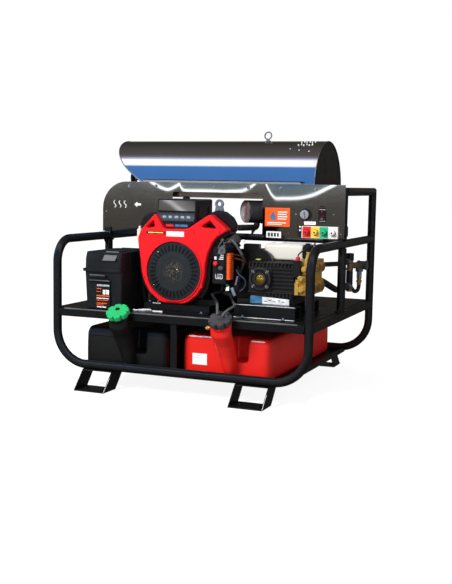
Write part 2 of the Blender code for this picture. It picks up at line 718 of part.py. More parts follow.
def pump_manifold():
    """Brass head of the pump: valve caps on its right face and the unloader body on top."""
    low = (0.4745, -0.350, 0.449)
    body = bevel(box("pump_manifold", low, (0.540, -0.128, 0.600)), 0.004, 1)
    parts = []
    for n in range(3):
        y = -0.305 + n * 0.066
        for z in (0.482, 0.566):
            parts.append(lathe(f"pump_manifold_cap{len(parts)}", [(0, 0), (0.019, 0), (0.019, 0.012), (0.012, 0.016), (0, 0.016)],
                               (0.536, y, z), (1, 0, 0), 10))
    parts.append(rod("pump_manifold_unloader", (0.523, -0.305, 0.595), (0.523, -0.305, 0.634), 0.0135, 12))
    for part in parts:
        combine(body, part, "UNION")
    return brass(body)


def unloader_knob():
    """Black hand knob that sets the working pressure."""
    profile = [(0, 0), (0.009, 0), (0.017, 0.006), (0.017, 0.026), (0.013, 0.030), (0, 0.030)]
    return black_plastic(lathe("unloader_knob", profile, (0.523, -0.305, 0.634 + GAP), (0, 0, 1), 14))


def pressure_switch():
    """Switch on the front of the manifold with its red cap."""
    body = bevel(box("pressure_switch", (0.478, -0.382, 0.531), (0.507, -0.3505, 0.602)), 0.003, 1)
    cap = rod("pressure_switch_cap", (0.4925, -0.366, 0.600), (0.4925, -0.366, 0.618), 0.0085, 12)
    return black_plastic(combine(body, cap, "UNION"))


def pump_pulley():
    """Large pulley on the pump shaft, with two belt grooves."""
    profile = [(0, 0), (0.0143, 0), (0.0143, 0.120), (0.085, 0.134), (0.085, 0.147), (0.078, 0.1535)]
    profile += [(0.085, 0.160), (0.085, 0.168), (0.078, 0.1745), (0.085, 0.181), (0.085, 0.193), (0.026, 0.193)]
    profile += [(0.026, 0.203), (0, 0.203)]
    return paint(lathe("pump_pulley", profile, (PUMP_X, -0.195, PUMP_Z), (0, 1, 0), 30), (0.05, 0.05, 0.05), 0.5, 0.6)


def belt_loop(offset, count):
    """The open-belt path round both pulleys, moved out by an offset."""
    small, large = ENGINE_PULLEY_R + offset, PUMP_PULLEY_R + offset
    dx, dz = PUMP_X - ENGINE_X, PUMP_Z - ENGINE_Z
    tilt = math.degrees(math.atan2(dz, dx))
    wrap = math.degrees(math.acos((large - small) / math.hypot(dx, dz)))
    right = circle(PUMP_X, PUMP_Z, large, count, tilt - 180 + wrap, tilt + 180 - wrap)
    left = circle(ENGINE_X, ENGINE_Z, small, count // 2, tilt + 180 - wrap, tilt + 180 + wrap)
    return right + left


def drive_belt():
    loops = [belt_loop(BELT_T, 24), belt_loop(GAP * 2, 24)]
    return rubber(extrude("drive_belt", loops, "Y", -0.052, -0.006))


def belt_guard():
    """Sheet cover round the belt and behind it, on a foot that stands on the shelf."""
    outer, inner = belt_loop(0.0255, 28), belt_loop(0.0230, 28)
    wall = cup("belt_guard", outer, inner, -0.056, 0.0275, 0.0300)
    foot = box("belt_guard_foot", (0.150, 0.0285, SHELF_TOP + GAP), (0.250, 0.0315, 0.50))
    sole = box("belt_guard_sole", (0.149, 0.0290, SHELF_TOP + GAP), (0.251, 0.060, SHELF_TOP + 0.004))
    for part in (foot, sole):
        combine(wall, part, "UNION")
    return black_paint(wall)


def float_tank():
    """White water tank that feeds the pump."""
    tank = bevel(box("float_tank", (0.285, -0.215, 0.5875), (0.470, -0.0635, 0.6560)), 0.008, 2)
    return paint(tank, (0.85, 0.85, 0.83), 0.4, 0.0)


def outlet_valve():
    """Brass outlet fittings behind the right mid post: an upright with two ports, and a tee behind it."""
    body = rod("outlet_valve", (0.550, 0.256, 0.415), (0.550, 0.256, 0.598), 0.0140, 12)
    arm = rod("outlet_valve_arm", (0.550, 0.236, 0.560), (0.550, 0.262, 0.560), 0.0125, 12)
    low = rod("outlet_valve_low", (0.550, 0.236, 0.443), (0.550, 0.262, 0.443), 0.0150, 12)
    back = rod("outlet_valve_back", (0.552, 0.258, 0.540), (0.565, 0.385, 0.532), 0.0125, 12)
    tee = rod("outlet_valve_tee", (0.548, 0.400, 0.532), (0.598, 0.400, 0.532), 0.0210, 12)
    nipple = rod("outlet_valve_nipple", (0.560, 0.400, 0.526), (0.560, 0.400, 0.440), 0.0100, 12)
    for part in (arm, low, back, tee, nipple):
        combine(body, part, "UNION")
    return brass(body)


def hoses():
    """Hoses held at both ends: pump to outlet, outlet back to the pump, and fuel to the engine."""
    path = [(0.510, -0.1275, 0.566), (0.510, -0.090, 0.566), (0.550, 0.080, 0.560), (0.550, 0.2355, 0.560)]
    rubber(tube("discharge_hose", rounded(path, (0.08, 0.08), 4), 0.011, 10))
    path = [(0.510, -0.1275, 0.495), (0.510, -0.080, 0.495), (0.545, 0.045, 0.443), (0.550, 0.2355, 0.443)]
    rubber(tube("inlet_hose", rounded(path, (0.06, 0.08), 4), 0.0145, 10))
    path = [(0.2080, -0.5440, 0.377), (0.200, -0.530, 0.425), (0.150, -0.470, 0.450), (0.148, -0.350, 0.450), (0.148, -0.350, 0.4845)]
    grey = tube("fuel_hose", rounded(path, (0.02, 0.03, 0.02), 4), 0.006, 8)
    paint(grey, (0.25, 0.25, 0.26), 0.6, 0.0)


# ---- Tanks and battery ----


def ring_at(centre, axis, rx, ry, count=16):
    """A tilted oval of points whose normal leans forward with the axis."""
    axis = Vector(axis).normalized()
    side = Vector((1, 0, 0))
    other = axis.cross(side)
    turn = [math.tau * i / count for i in range(count)]
    return [Vector(centre) + side * rx * math.cos(a) + other * ry * math.sin(a) for a in turn]


def fuel_tank(name, span, neck_x, rgb):
    """Moulded tank nearly as deep as the skid, with a filler column that leans out in front of the shelf."""
    low, high = (span[0], TANK_Y[0], TANK_Z[0]), (span[1], TANK_Y[1], TANK_Z[1])
    tank = bevel(box(name, low, high), 0.022, 3)
    rings = [
        ring_at((neck_x + 0.018, -0.460, 0.128), (0, 0, 1), 0.030, 0.030),
        ring_at((neck_x + 0.010, -0.470, 0.190), (0, 0, 1), 0.038, 0.038),
        ring_at((neck_x + 0.004, -0.498, 0.245), (0, -0.3, 0.95), 0.042, 0.038),
        ring_at((neck_x, -0.5410, 0.298), CAP_AXIS, 0.042, 0.029),
        ring_at((neck_x, -0.5423, 0.3393), CAP_AXIS, 0.042, 0.030),
    ]
    combine(tank, loft(name + "_column", rings), "UNION")
    recess = loft(name + "_recess", [
        ring_at((neck_x + 0.054, -0.480, 0.300), (0, 0, 1), 0.038, 0.062),
        ring_at((neck_x + 0.054, -0.480, 0.176), (0, 0, 1), 0.032, 0.056),
    ])
    combine(tank, recess, "DIFFERENCE")
    return paint(smooth(tank, 50), rgb, 0.35, 0.0)


def fuel_cap(name, neck_x, rgb):
    """Scalloped screw cap, turning about the leaning filler neck."""
    base = Vector((neck_x, -0.5423, 0.3393)) + CAP_AXIS * GAP
    side, other = Vector((1, 0, 0)), CAP_AXIS.cross(Vector((1, 0, 0)))
    rings = []
    for height, scale in ((0, 0.97), (0.004, 1.0), (0.020, 1.0), (0.025, 0.93)):
        ring = []
        for i in range(48):
            a = math.tau * i / 48
            radius = CAP_R * scale * (1.0 if i % 6 < 4 else 0.90)
            ring.append(base + CAP_AXIS * height + (side * math.cos(a) + other * math.sin(a)) * radius)
        rings.append(ring)
    return paint(loft(name, rings), rgb, 0.4, 0.0)


def tanks():
    fuel_tank("diesel_tank", LEFT_TANK_X, -0.2555, (0.02, 0.02, 0.02))
    fuel_cap("diesel_cap", -0.2555, (0.02, 0.55, 0.18))
    fuel_tank("petrol_tank", RIGHT_TANK_X, 0.2233, (0.70, 0.02, 0.015))
    fuel_cap("petrol_cap", 0.2233, (0.06, 0.06, 0.065))


def battery():
    x, y = BATTERY_X, BATTERY_Y
    case = tray("battery_box", (x[0], y[0], SHELF_TOP + GAP), (x[1], y[1], BATTERY_RIM), 0.003)
    black_plastic(case)
    low = (x[0] + 0.006, y[0] + 0.010, SHELF_TOP + 0.004)
    cells = bevel(box("battery", low, (x[1] - 0.006, y[1] - 0.010, BATTERY_RIM - 0.006)), 0.003, 1)
    paint(cells, (0.03, 0.03, 0.035), 0.4, 0.0)


def battery_lid():
    """Lid with a rim, a sloped front and side, and a hollow underneath."""
    x, y, z = BATTERY_X, BATTERY_Y, BATTERY_RIM + GAP

    def ring(grow, level, front=0.0):
        x0, x1, y0, y1 = x[0] - grow, x[1] + grow, y[0] - grow + front, y[1] + grow
        return [(x0, y0, level), (x1, y0, level), (x1, y1, level), (x0, y1, level)]

    rings = [ring(0.008, z), ring(0.008, z + 0.012), ring(-0.002, z + 0.014), ring(-0.004, z + 0.050)]
    rings += [ring(-0.016, z + 0.077, 0.014), ring(-0.020, z + 0.074, 0.014), ring(-0.008, z + 0.048), ring(-0.006, z)]
    points = [p for ring_points in rings for p in ring_points]
    faces = [(16, 17, 18, 19), (20, 21, 22, 23)]
    for a in (0, 4, 8, 12, 20, 24):
        faces += [(a + i, a + (i + 1) % 4, a + 4 + (i + 1) % 4, a + 4 + i) for i in range(4)]
    faces += [(28 + i, 28 + (i + 1) % 4, (i + 1) % 4, i) for i in range(4)]
    return black_plastic(add_mesh("battery_lid", points, faces))


def build():
    clear_scene()
    frame_parts = (front_hoop, rear_hoop, shelf, bottom_tray, tank_strut, mid_posts, panel_crossbar, feet)
    panel_parts = (control_panel, hood, hood_pan, eye_bolt, heating_coil, burner, muffler, thermostat_knob)
    panel_parts += (burner_switch, nozzle_holder, nozzles)
    engine_parts = (engine_bases, engine_block, cylinders, fan_cover, fan_guard, flywheel_fan, crankshaft)
    engine_parts += (air_cleaner, control_box, ignition_key, choke_knob)
    pump_parts = (pump_crankcase, pump_manifold, unloader_knob, pressure_switch, pump_pulley, drive_belt)
    pump_parts += (belt_guard, float_tank, outlet_valve, hoses)
    for make in frame_parts + panel_parts + engine_parts + pump_parts + (tanks, battery, battery_lid):
        make()
    for obj in bpy.data.objects:
        obj.location += SHIFT


build()
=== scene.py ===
"""Visual model of a hot-water pressure washer on a tube skid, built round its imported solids."""

import math

import bmesh
import bpy
from mathutils import Matrix, Vector
from mathutils.geometry import tessellate_polygon


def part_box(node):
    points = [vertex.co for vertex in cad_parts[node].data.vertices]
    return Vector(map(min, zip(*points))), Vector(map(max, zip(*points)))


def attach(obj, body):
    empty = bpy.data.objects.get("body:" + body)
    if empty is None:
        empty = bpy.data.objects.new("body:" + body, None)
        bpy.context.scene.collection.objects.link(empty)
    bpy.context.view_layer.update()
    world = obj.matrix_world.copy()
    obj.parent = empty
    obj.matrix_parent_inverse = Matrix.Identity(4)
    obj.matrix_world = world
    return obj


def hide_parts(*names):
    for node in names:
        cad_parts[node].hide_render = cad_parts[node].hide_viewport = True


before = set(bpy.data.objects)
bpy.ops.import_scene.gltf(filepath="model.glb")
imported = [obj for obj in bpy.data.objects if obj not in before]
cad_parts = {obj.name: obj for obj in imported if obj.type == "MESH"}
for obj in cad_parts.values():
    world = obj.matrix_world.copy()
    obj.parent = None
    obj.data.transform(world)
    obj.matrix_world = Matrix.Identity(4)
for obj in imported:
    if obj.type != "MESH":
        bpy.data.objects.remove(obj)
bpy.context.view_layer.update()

# Every measure below is in metres from the middle of the skid's posts, and SKID moves it to its place.
SHELF_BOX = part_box("shelf")
SKID = (SHELF_BOX[0] + SHELF_BOX[1]) / 2
SKID.z = 0.0

TAU = math.tau
# Solids that meet keep this much between them.
GAP = 0.0004
AXES = {
    "X": Matrix(((0, 0, 1), (1, 0, 0), (0, 1, 0))),
    "Y": Matrix(((1, 0, 0), (0, 0, -1), (0, 1, 0))),
    "Z": Matrix.Identity(3),
}
UP, FRONT, RIGHT = Vector((0, 0, 1)), Vector((0, -1, 0)), Vector((1, 0, 0))


# ---- Finishes ----


class Nodes:
    """Short names for building a node tree."""

    def __init__(self, tree):
        self.tree = tree

    def add(self, kind, values=None, **settings):
        node = self.tree.nodes.new(kind)
        for key, value in settings.items():
            setattr(node, key, value)
        for key, value in (values or {}).items():
            if isinstance(value, bpy.types.NodeSocket):
                self.tree.links.new(value, node.inputs[key])
            else:
                node.inputs[key].default_value = value
        return node

    def maths(self, operation, a, b=0.0):
        return self.add("ShaderNodeMath", {0: a, 1: b}, operation=operation).outputs[0]

    def noise(self, where, scale, detail=3.0):
        return self.add("ShaderNodeTexNoise", {"Vector": where, "Scale": scale, "Detail": detail}).outputs[
            "Fac"]

    def spread(self, value, low, high, start=0.3, end=0.7):
        values = {"Value": value, "From Min": start, "From Max": end, "To Min": low, "To Max": high}
        return self.add("ShaderNodeMapRange", values).outputs[0]

    def mix(self, factor, a, b, blend="MIX"):
        node = self.add("ShaderNodeMix", {0: factor}, data_type="RGBA", blend_type=blend)
        for key, value in ((6, a), (7, b)):
            if isinstance(value, bpy.types.NodeSocket):
                self.tree.links.new(value, node.inputs[key])
            else:
                node.inputs[key].default_value = (*value, 1.0)
        return node.outputs[2]

    def ramp(self, factor, stops):
        node = self.add("ShaderNodeValToRGB", {"Fac": factor})
        ramp = node.color_ramp
        while len(ramp.elements) < len(stops):
            ramp.elements.new(1.0)
        for element, (place, colour) in zip(ramp.elements, stops):
            element.position = place
            element.color = (*colour, 1.0)
        return node.outputs["Color"]


COAT_ROUGHNESS = 0.08


def finish(slot, colour, rough, metal=0.0, coat=0.0, mottle=(7.0, 0.12), grain=(500.0, 0.0001), vary=0.06,
           stretch=(1.0, 1.0, 1.0), specular=0.5, wear=None, paint=None, relief=None):
    """A finish whose colour drifts a little, whose gloss varies and whose surface has a fine grain.

    Mottle is the scale and strength of the drift, grain the scale and height of the relief in metres, and
    wear a colour and an amount for sharp edges. Paint and relief build a colour and a height from the place.
    """
    material = bpy.data.materials.new("finish")
    material.use_nodes = True
    n = Nodes(material.node_tree)
    shader = material.node_tree.nodes["Principled BSDF"]
    place = n.add("ShaderNodeTexCoord").outputs["Object"]
    where = n.add("ShaderNodeMapping", {"Vector": place, "Scale": stretch}).outputs[0]
    if paint:
        colour = paint(n, place)
    shade = n.spread(n.noise(where, mottle[0], 5.0), 1.0 - mottle[1], 1.0 + mottle[1])
    grey = n.add("ShaderNodeCombineColor", {0: shade, 1: shade, 2: shade}).outputs[0]
    tint = n.mix(1.0, colour, grey, "MULTIPLY")
    if wear:
        edge = n.add("ShaderNodeNewGeometry").outputs["Pointiness"]
        tint = n.mix(n.spread(edge, 0.0, wear[1], 0.52, 0.6), tint, wear[0])
    material.node_tree.links.new(tint, shader.inputs["Base Color"])
    gloss = n.spread(n.noise(where, mottle[0] * 3.0), rough - vary, rough + vary)
    material.node_tree.links.new(gloss, shader.inputs["Roughness"])
    height = n.noise(where, grain[0], 2.0)
    bump = n.add("ShaderNodeBump", {"Height": height, "Distance": grain[1], "Strength": 1.0}).outputs[0]
    if relief:
        waves = {"Height": relief(n, place), "Distance": 1.0, "Strength": 1.0, "Normal": bump}
        bump = n.add("ShaderNodeBump", waves).outputs[0]
    material.node_tree.links.new(bump, shader.inputs["Normal"])
    shader.inputs["Metallic"].default_value = metal
    shader.inputs["Coat Weight"].default_value = coat
    shader.inputs["Coat Roughness"].default_value = COAT_ROUGHNESS
    shader.inputs["Specular IOR Level"].default_value = specular
    return material, slot


def parts_of(n, place):
    """The x, y and z of a place."""
    node = n.add("ShaderNodeSeparateXYZ", {0: place})
    return node.outputs[0], node.outputs[1], node.outputs[2]


def sheet_sag(n, x, start, end, run_in, run_out, depth, power):
    """A dip in the sheet: flat from start to end, and running back up on either side."""
    before = n.maths("DIVIDE", n.maths("SUBTRACT", start, x), run_in)
    after = n.maths("DIVIDE", n.maths("SUBTRACT", x, end), run_out)
    away = n.maths("MAXIMUM", n.maths("MAXIMUM", before, after), 0.0)
    left = n.maths("SUBTRACT", 1.0, n.maths("POWER", away, power))
    return n.maths("MULTIPLY", n.maths("MAXIMUM", left, 0.0), depth)


def panel_waves(n, place):
    """Height of the sheet: nearly flat low down, leaning back above a line that sags between fixings."""
    x, _, z = parts_of(n, place)
    sags = (sheet_sag(n, x, -0.27, -0.26, 0.1, 0.1, 0.055, 1.2), sheet_sag(n, x, -0.17, 0.08, 0.04, 0.11,
            0.058, 2.5),
            sheet_sag(n, x, 0.285, 0.33, 0.06, 0.24, 0.09, 1.8))
    deepest = n.maths("MAXIMUM", n.maths("MAXIMUM", sags[0], sags[1]), sags[2])
    rise = n.maths("MAXIMUM", n.maths("SUBTRACT", z, n.maths("SUBTRACT", 0.913, deepest)), 0.0)
    lean = n.maths("MULTIPLY", n.maths("MULTIPLY", rise, rise), -0.55)
    start = n.maths("MULTIPLY", z, 0.01)
    soft = n.maths("MULTIPLY", n.noise(place, 6.0, 1.0), 0.001)
    return n.maths("ADD", n.maths("ADD", lean, start), soft)


def panel_painted_reflection(n, place):
    """Polished sheet with a painted reflection: darker and warmer low down, paler near its top."""
    _, _, z = parts_of(n, place)
    drift = n.maths("ADD", z, n.maths("MULTIPLY", n.noise(place, 5.0), 0.05))
    return n.ramp(n.spread(drift, 0.0, 1.0, 0.7, 0.95), [(0.0, (0.36, 0.34, 0.31)), (0.55, (0.4, 0.39, 0.38)),
            (1.0, (0.62, 0.66, 0.68))])


def brass_with_painted_shade(n, place):
    """Bright brass in front, and painted shade on the outer face, which turns a duller bronze."""
    x, _, _ = parts_of(n, place)
    return n.mix(n.spread(x, 0.0, 1.0, 0.536, 0.546), (1.0, 0.62, 0.13), (0.4, 0.26, 0.09))


def badge_tone(n, place):
    """Dark badge, palest halfway up."""
    _, _, z = parts_of(n, place)
    return n.ramp(n.spread(z, 0.0, 1.0, 0.742, 0.786), [(0.0, (0.03, 0.04, 0.055)), (0.5, (0.075, 0.1, 0.13)),
            (1.0, (0.022, 0.03, 0.042))])


def streak_painted_highlight(n, place):
    """Grey plastic with a painted highlight: a paler streak running slantwise across it."""
    x, _, z = parts_of(n, place)
    across = n.maths("ADD", x, n.maths("MULTIPLY", z, 1.6))
    drift = n.maths("ADD", across, n.maths("MULTIPLY", n.noise(place, 18.0), 0.02))
    stops = [(0.0, (0.1, 0.095, 0.09)), (0.38, (0.13, 0.12, 0.12)), (0.52, (0.48, 0.47, 0.46)),
             (0.64, (0.2, 0.19, 0.19)), (1.0, (0.08, 0.075, 0.07))]
    return n.ramp(n.spread(drift, 0.0, 1.0, 1.12, 1.36), stops)


def hose_tone(n, place):
    """Grey hose, near black along its upper run."""
    _, _, z = parts_of(n, place)
    return n.mix(n.spread(z, 0.0, 1.0, 0.415, 0.43), (0.085, 0.085, 0.09), (0.008, 0.008, 0.009))


BLACK_PAINT = finish("black_paint", (0.006, 0.0062, 0.007), 0.34, mottle=(9, 0.2), grain=(700, 0.00003),
                     coat=0.08)
BLACK_SHEET = finish("black_paint", (0.005, 0.0055, 0.006), 0.38, mottle=(6, 0.25), grain=(500, 0.00006),
                     specular=0.35)
# Polished steel whose colour carries a painted reflection.
PANEL = finish("panel_steel", None, 0.065, metal=1.0, mottle=(5, 0.07), grain=(60, 0.000006),
               stretch=(1, 1, 40),
               vary=0.012, paint=panel_painted_reflection, relief=panel_waves)
MIRROR = finish("mirror_steel", (0.86, 0.87, 0.88), 0.07, metal=1.0, mottle=(4, 0.04), grain=(8, 0.0001),
                vary=0.02)
RIM_STEEL = finish("mirror_steel", (0.62, 0.62, 0.6), 0.3, metal=1.0, mottle=(30, 0.1), grain=(300, 0.0001))
DARK_STEEL = finish("dark_steel", (0.035, 0.033, 0.032), 0.42, metal=0.5, mottle=(18, 0.35),
                    grain=(250, 0.0002))
COIL_STEEL = finish("dark_steel", (0.16, 0.15, 0.14), 0.5, metal=0.9, mottle=(20, 0.3), grain=(250, 0.0002))
CAST = finish("cast_grey", (0.022, 0.022, 0.024), 0.5, metal=0.4, mottle=(14, 0.25), grain=(220, 0.0004))
ALLOY = finish("bright_steel", (0.5, 0.52, 0.55), 0.34, metal=0.9, mottle=(25, 0.15), grain=(300, 0.0002))
ZINC = finish("bright_steel", (0.66, 0.67, 0.7), 0.28, metal=1.0, mottle=(40, 0.15), grain=(500, 0.0001))
DIAL = finish("bright_steel", (0.6, 0.62, 0.64), 0.3, metal=0.7, mottle=(30, 0.08), grain=(300, 0.0001))
PUMP = finish("pump_black", (0.009, 0.009, 0.01), 0.42, mottle=(18, 0.3), grain=(260, 0.0002),
              wear=((0.13, 0.12, 0.11), 0.35), specular=0.4)
# Brass with painted shade on its outer face.
BRASS = finish("brass", None, 0.31, metal=0.7, mottle=(14, 0.14), grain=(260, 0.000012), paint=brass_with_painted_shade,
               vary=0.03)
GOLD = finish("brass", (0.78, 0.48, 0.06), 0.16, metal=0.9, mottle=(90, 0.3), grain=(200, 0.0003), coat=0.6)
RED = finish("red_cover", (0.7, 0.008, 0.013), 0.34, mottle=(4, 0.06), grain=(900, 0.00002), coat=0.15,
             specular=0.3)
RED_TANK = finish("red_tank", (0.62, 0.012, 0.008), 0.38, mottle=(3, 0.08), grain=(420, 0.0001),
                  specular=0.35)
BLACK_TANK = finish("black_tank", (0.007, 0.007, 0.007), 0.34, mottle=(5, 0.2), grain=(420, 0.0001))
BLACK = finish("black_plastic", (0.007, 0.0075, 0.008), 0.42, mottle=(12, 0.2), grain=(520, 0.0001))
GRAIN = finish("black_plastic", (0.009, 0.01, 0.011), 0.48, mottle=(12, 0.25), grain=(380, 0.0003),
               specular=0.4)
SHROUD = finish("black_plastic", (0.006, 0.006, 0.0065), 0.34, mottle=(10, 0.2), grain=(500, 0.00006),
                specular=0.4)
# Grey plastic with a painted highlight across it.
GREY_TOP = finish("black_plastic", None, 0.34, metal=0.5, mottle=(9, 0.2), grain=(300, 0.0001),
                  paint=streak_painted_highlight)
BADGE = finish("black_plastic", None, 0.3, metal=0.3, mottle=(30, 0.1), paint=badge_tone)
GREEN = finish("green_plastic", (0.02, 0.42, 0.13), 0.36, mottle=(9, 0.1), grain=(300, 0.0002))
CAP_GREY = finish("black_plastic", (0.045, 0.046, 0.052), 0.44, mottle=(16, 0.25), grain=(300, 0.0003))
RED_SMALL = finish("red_plastic", (0.62, 0.015, 0.02), 0.34, mottle=(20, 0.1))
DARK_RED = finish("red_plastic", (0.022, 0.003, 0.003), 0.3, mottle=(20, 0.2), coat=0.1)
ORANGE = finish("red_plastic", (0.8, 0.1, 0.015), 0.4, mottle=(20, 0.15))
YELLOW = finish("yellow_plastic", (0.86, 0.58, 0.07), 0.38, mottle=(20, 0.08))
LEMON = finish("yellow_plastic", (0.72, 0.72, 0.08), 0.4, mottle=(20, 0.1))
TEAL = finish("green_plastic", (0.02, 0.42, 0.22), 0.38, mottle=(20, 0.08))
WHITE = finish("white_plastic", (0.8, 0.8, 0.79), 0.36, mottle=(10, 0.05))
CREAM = finish("white_plastic", (0.66, 0.64, 0.58), 0.42, mottle=(5, 0.05), grain=(200, 0.0001))
PALE = finish("white_plastic", (0.62, 0.66, 0.7), 0.4, mottle=(40, 0.3))
BLUE = finish("white_plastic", (0.045, 0.15, 0.3), 0.35, mottle=(35, 0.4))
RUBBER = finish("black_rubber", (0.017, 0.017, 0.018), 0.62, mottle=(25, 0.2), grain=(600, 0.0002))
GREY_RUBBER = finish("grey_rubber", (0.085, 0.085, 0.09), 0.55, mottle=(25, 0.2), grain=(600, 0.0002))
# Grey hose, near black above a set height.
HOSE_DARK_ABOVE = finish("grey_rubber", None, 0.55, mottle=(25, 0.2), grain=(600, 0.0002), paint=hose_tone)
WIRE = finish("red_plastic", (0.05, 0.014, 0.01), 0.5, mottle=(25, 0.2))
WHITE_STEEL = finish("mirror_steel", (0.85, 0.85, 0.85), 0.35, metal=0.2, mottle=(40, 0.2))
BRONZE = finish("brass", (0.36, 0.22, 0.1), 0.32, metal=0.8, mottle=(24, 0.25), grain=(260, 0.0002))
EYE_STEEL = finish("mirror_steel", (0.2, 0.21, 0.22), 0.34, metal=0.5, mottle=(30, 0.2))
LINK = finish("bright_steel", (0.16, 0.17, 0.18), 0.38, metal=0.6, mottle=(30, 0.35))
# Grey that paints highlights along dark edges.
EDGE_HIGHLIGHT_GREY = finish("black_paint", (0.1, 0.1, 0.105), 0.35, mottle=(14, 0.4), grain=(300, 0.00008))
STRIP = finish("mirror_steel", (0.36, 0.35, 0.34), 0.34, metal=0.5, mottle=(5, 0.12), grain=(200, 0.0001))
DIM_BLOCKS = finish("white_plastic", (0.3, 0.34, 0.38), 0.4, mottle=(60, 0.4))
# Pan steel tinted brown: a painted reflection of dark ground.
PAN_REFLECTION_TINT = finish("mirror_steel", (0.2, 0.165, 0.135), 0.2, metal=0.7, mottle=(6, 0.3), grain=(60, 0.0001))
BLUED_STEEL = finish("bright_steel", (0.3, 0.36, 0.45), 0.3, metal=0.8, mottle=(30, 0.2))
BLUE_RUBBER = finish("grey_rubber", (0.035, 0.045, 0.065), 0.45, mottle=(30, 0.2))
BLUED_FITTING = finish("bright_steel", (0.35, 0.38, 0.5), 0.3, metal=0.6, mottle=(30, 0.2))
PALE_TAG = finish("white_plastic", (0.7, 0.73, 0.76), 0.3, mottle=(45, 0.3))
TEE_GREY = finish("grey_rubber", (0.1, 0.12, 0.13), 0.4, metal=0.5, mottle=(30, 0.3))
DIM_LABEL = finish("white_plastic", (0.115, 0.115, 0.115), 0.4, mottle=(30, 0.15))


# ---- Solids ----

BOX_FACES = ((0, 1, 2, 3), (4, 5, 6, 7), (0, 1, 5, 4), (1, 2, 6, 5), (2, 3, 7, 6), (3, 0, 4, 7))


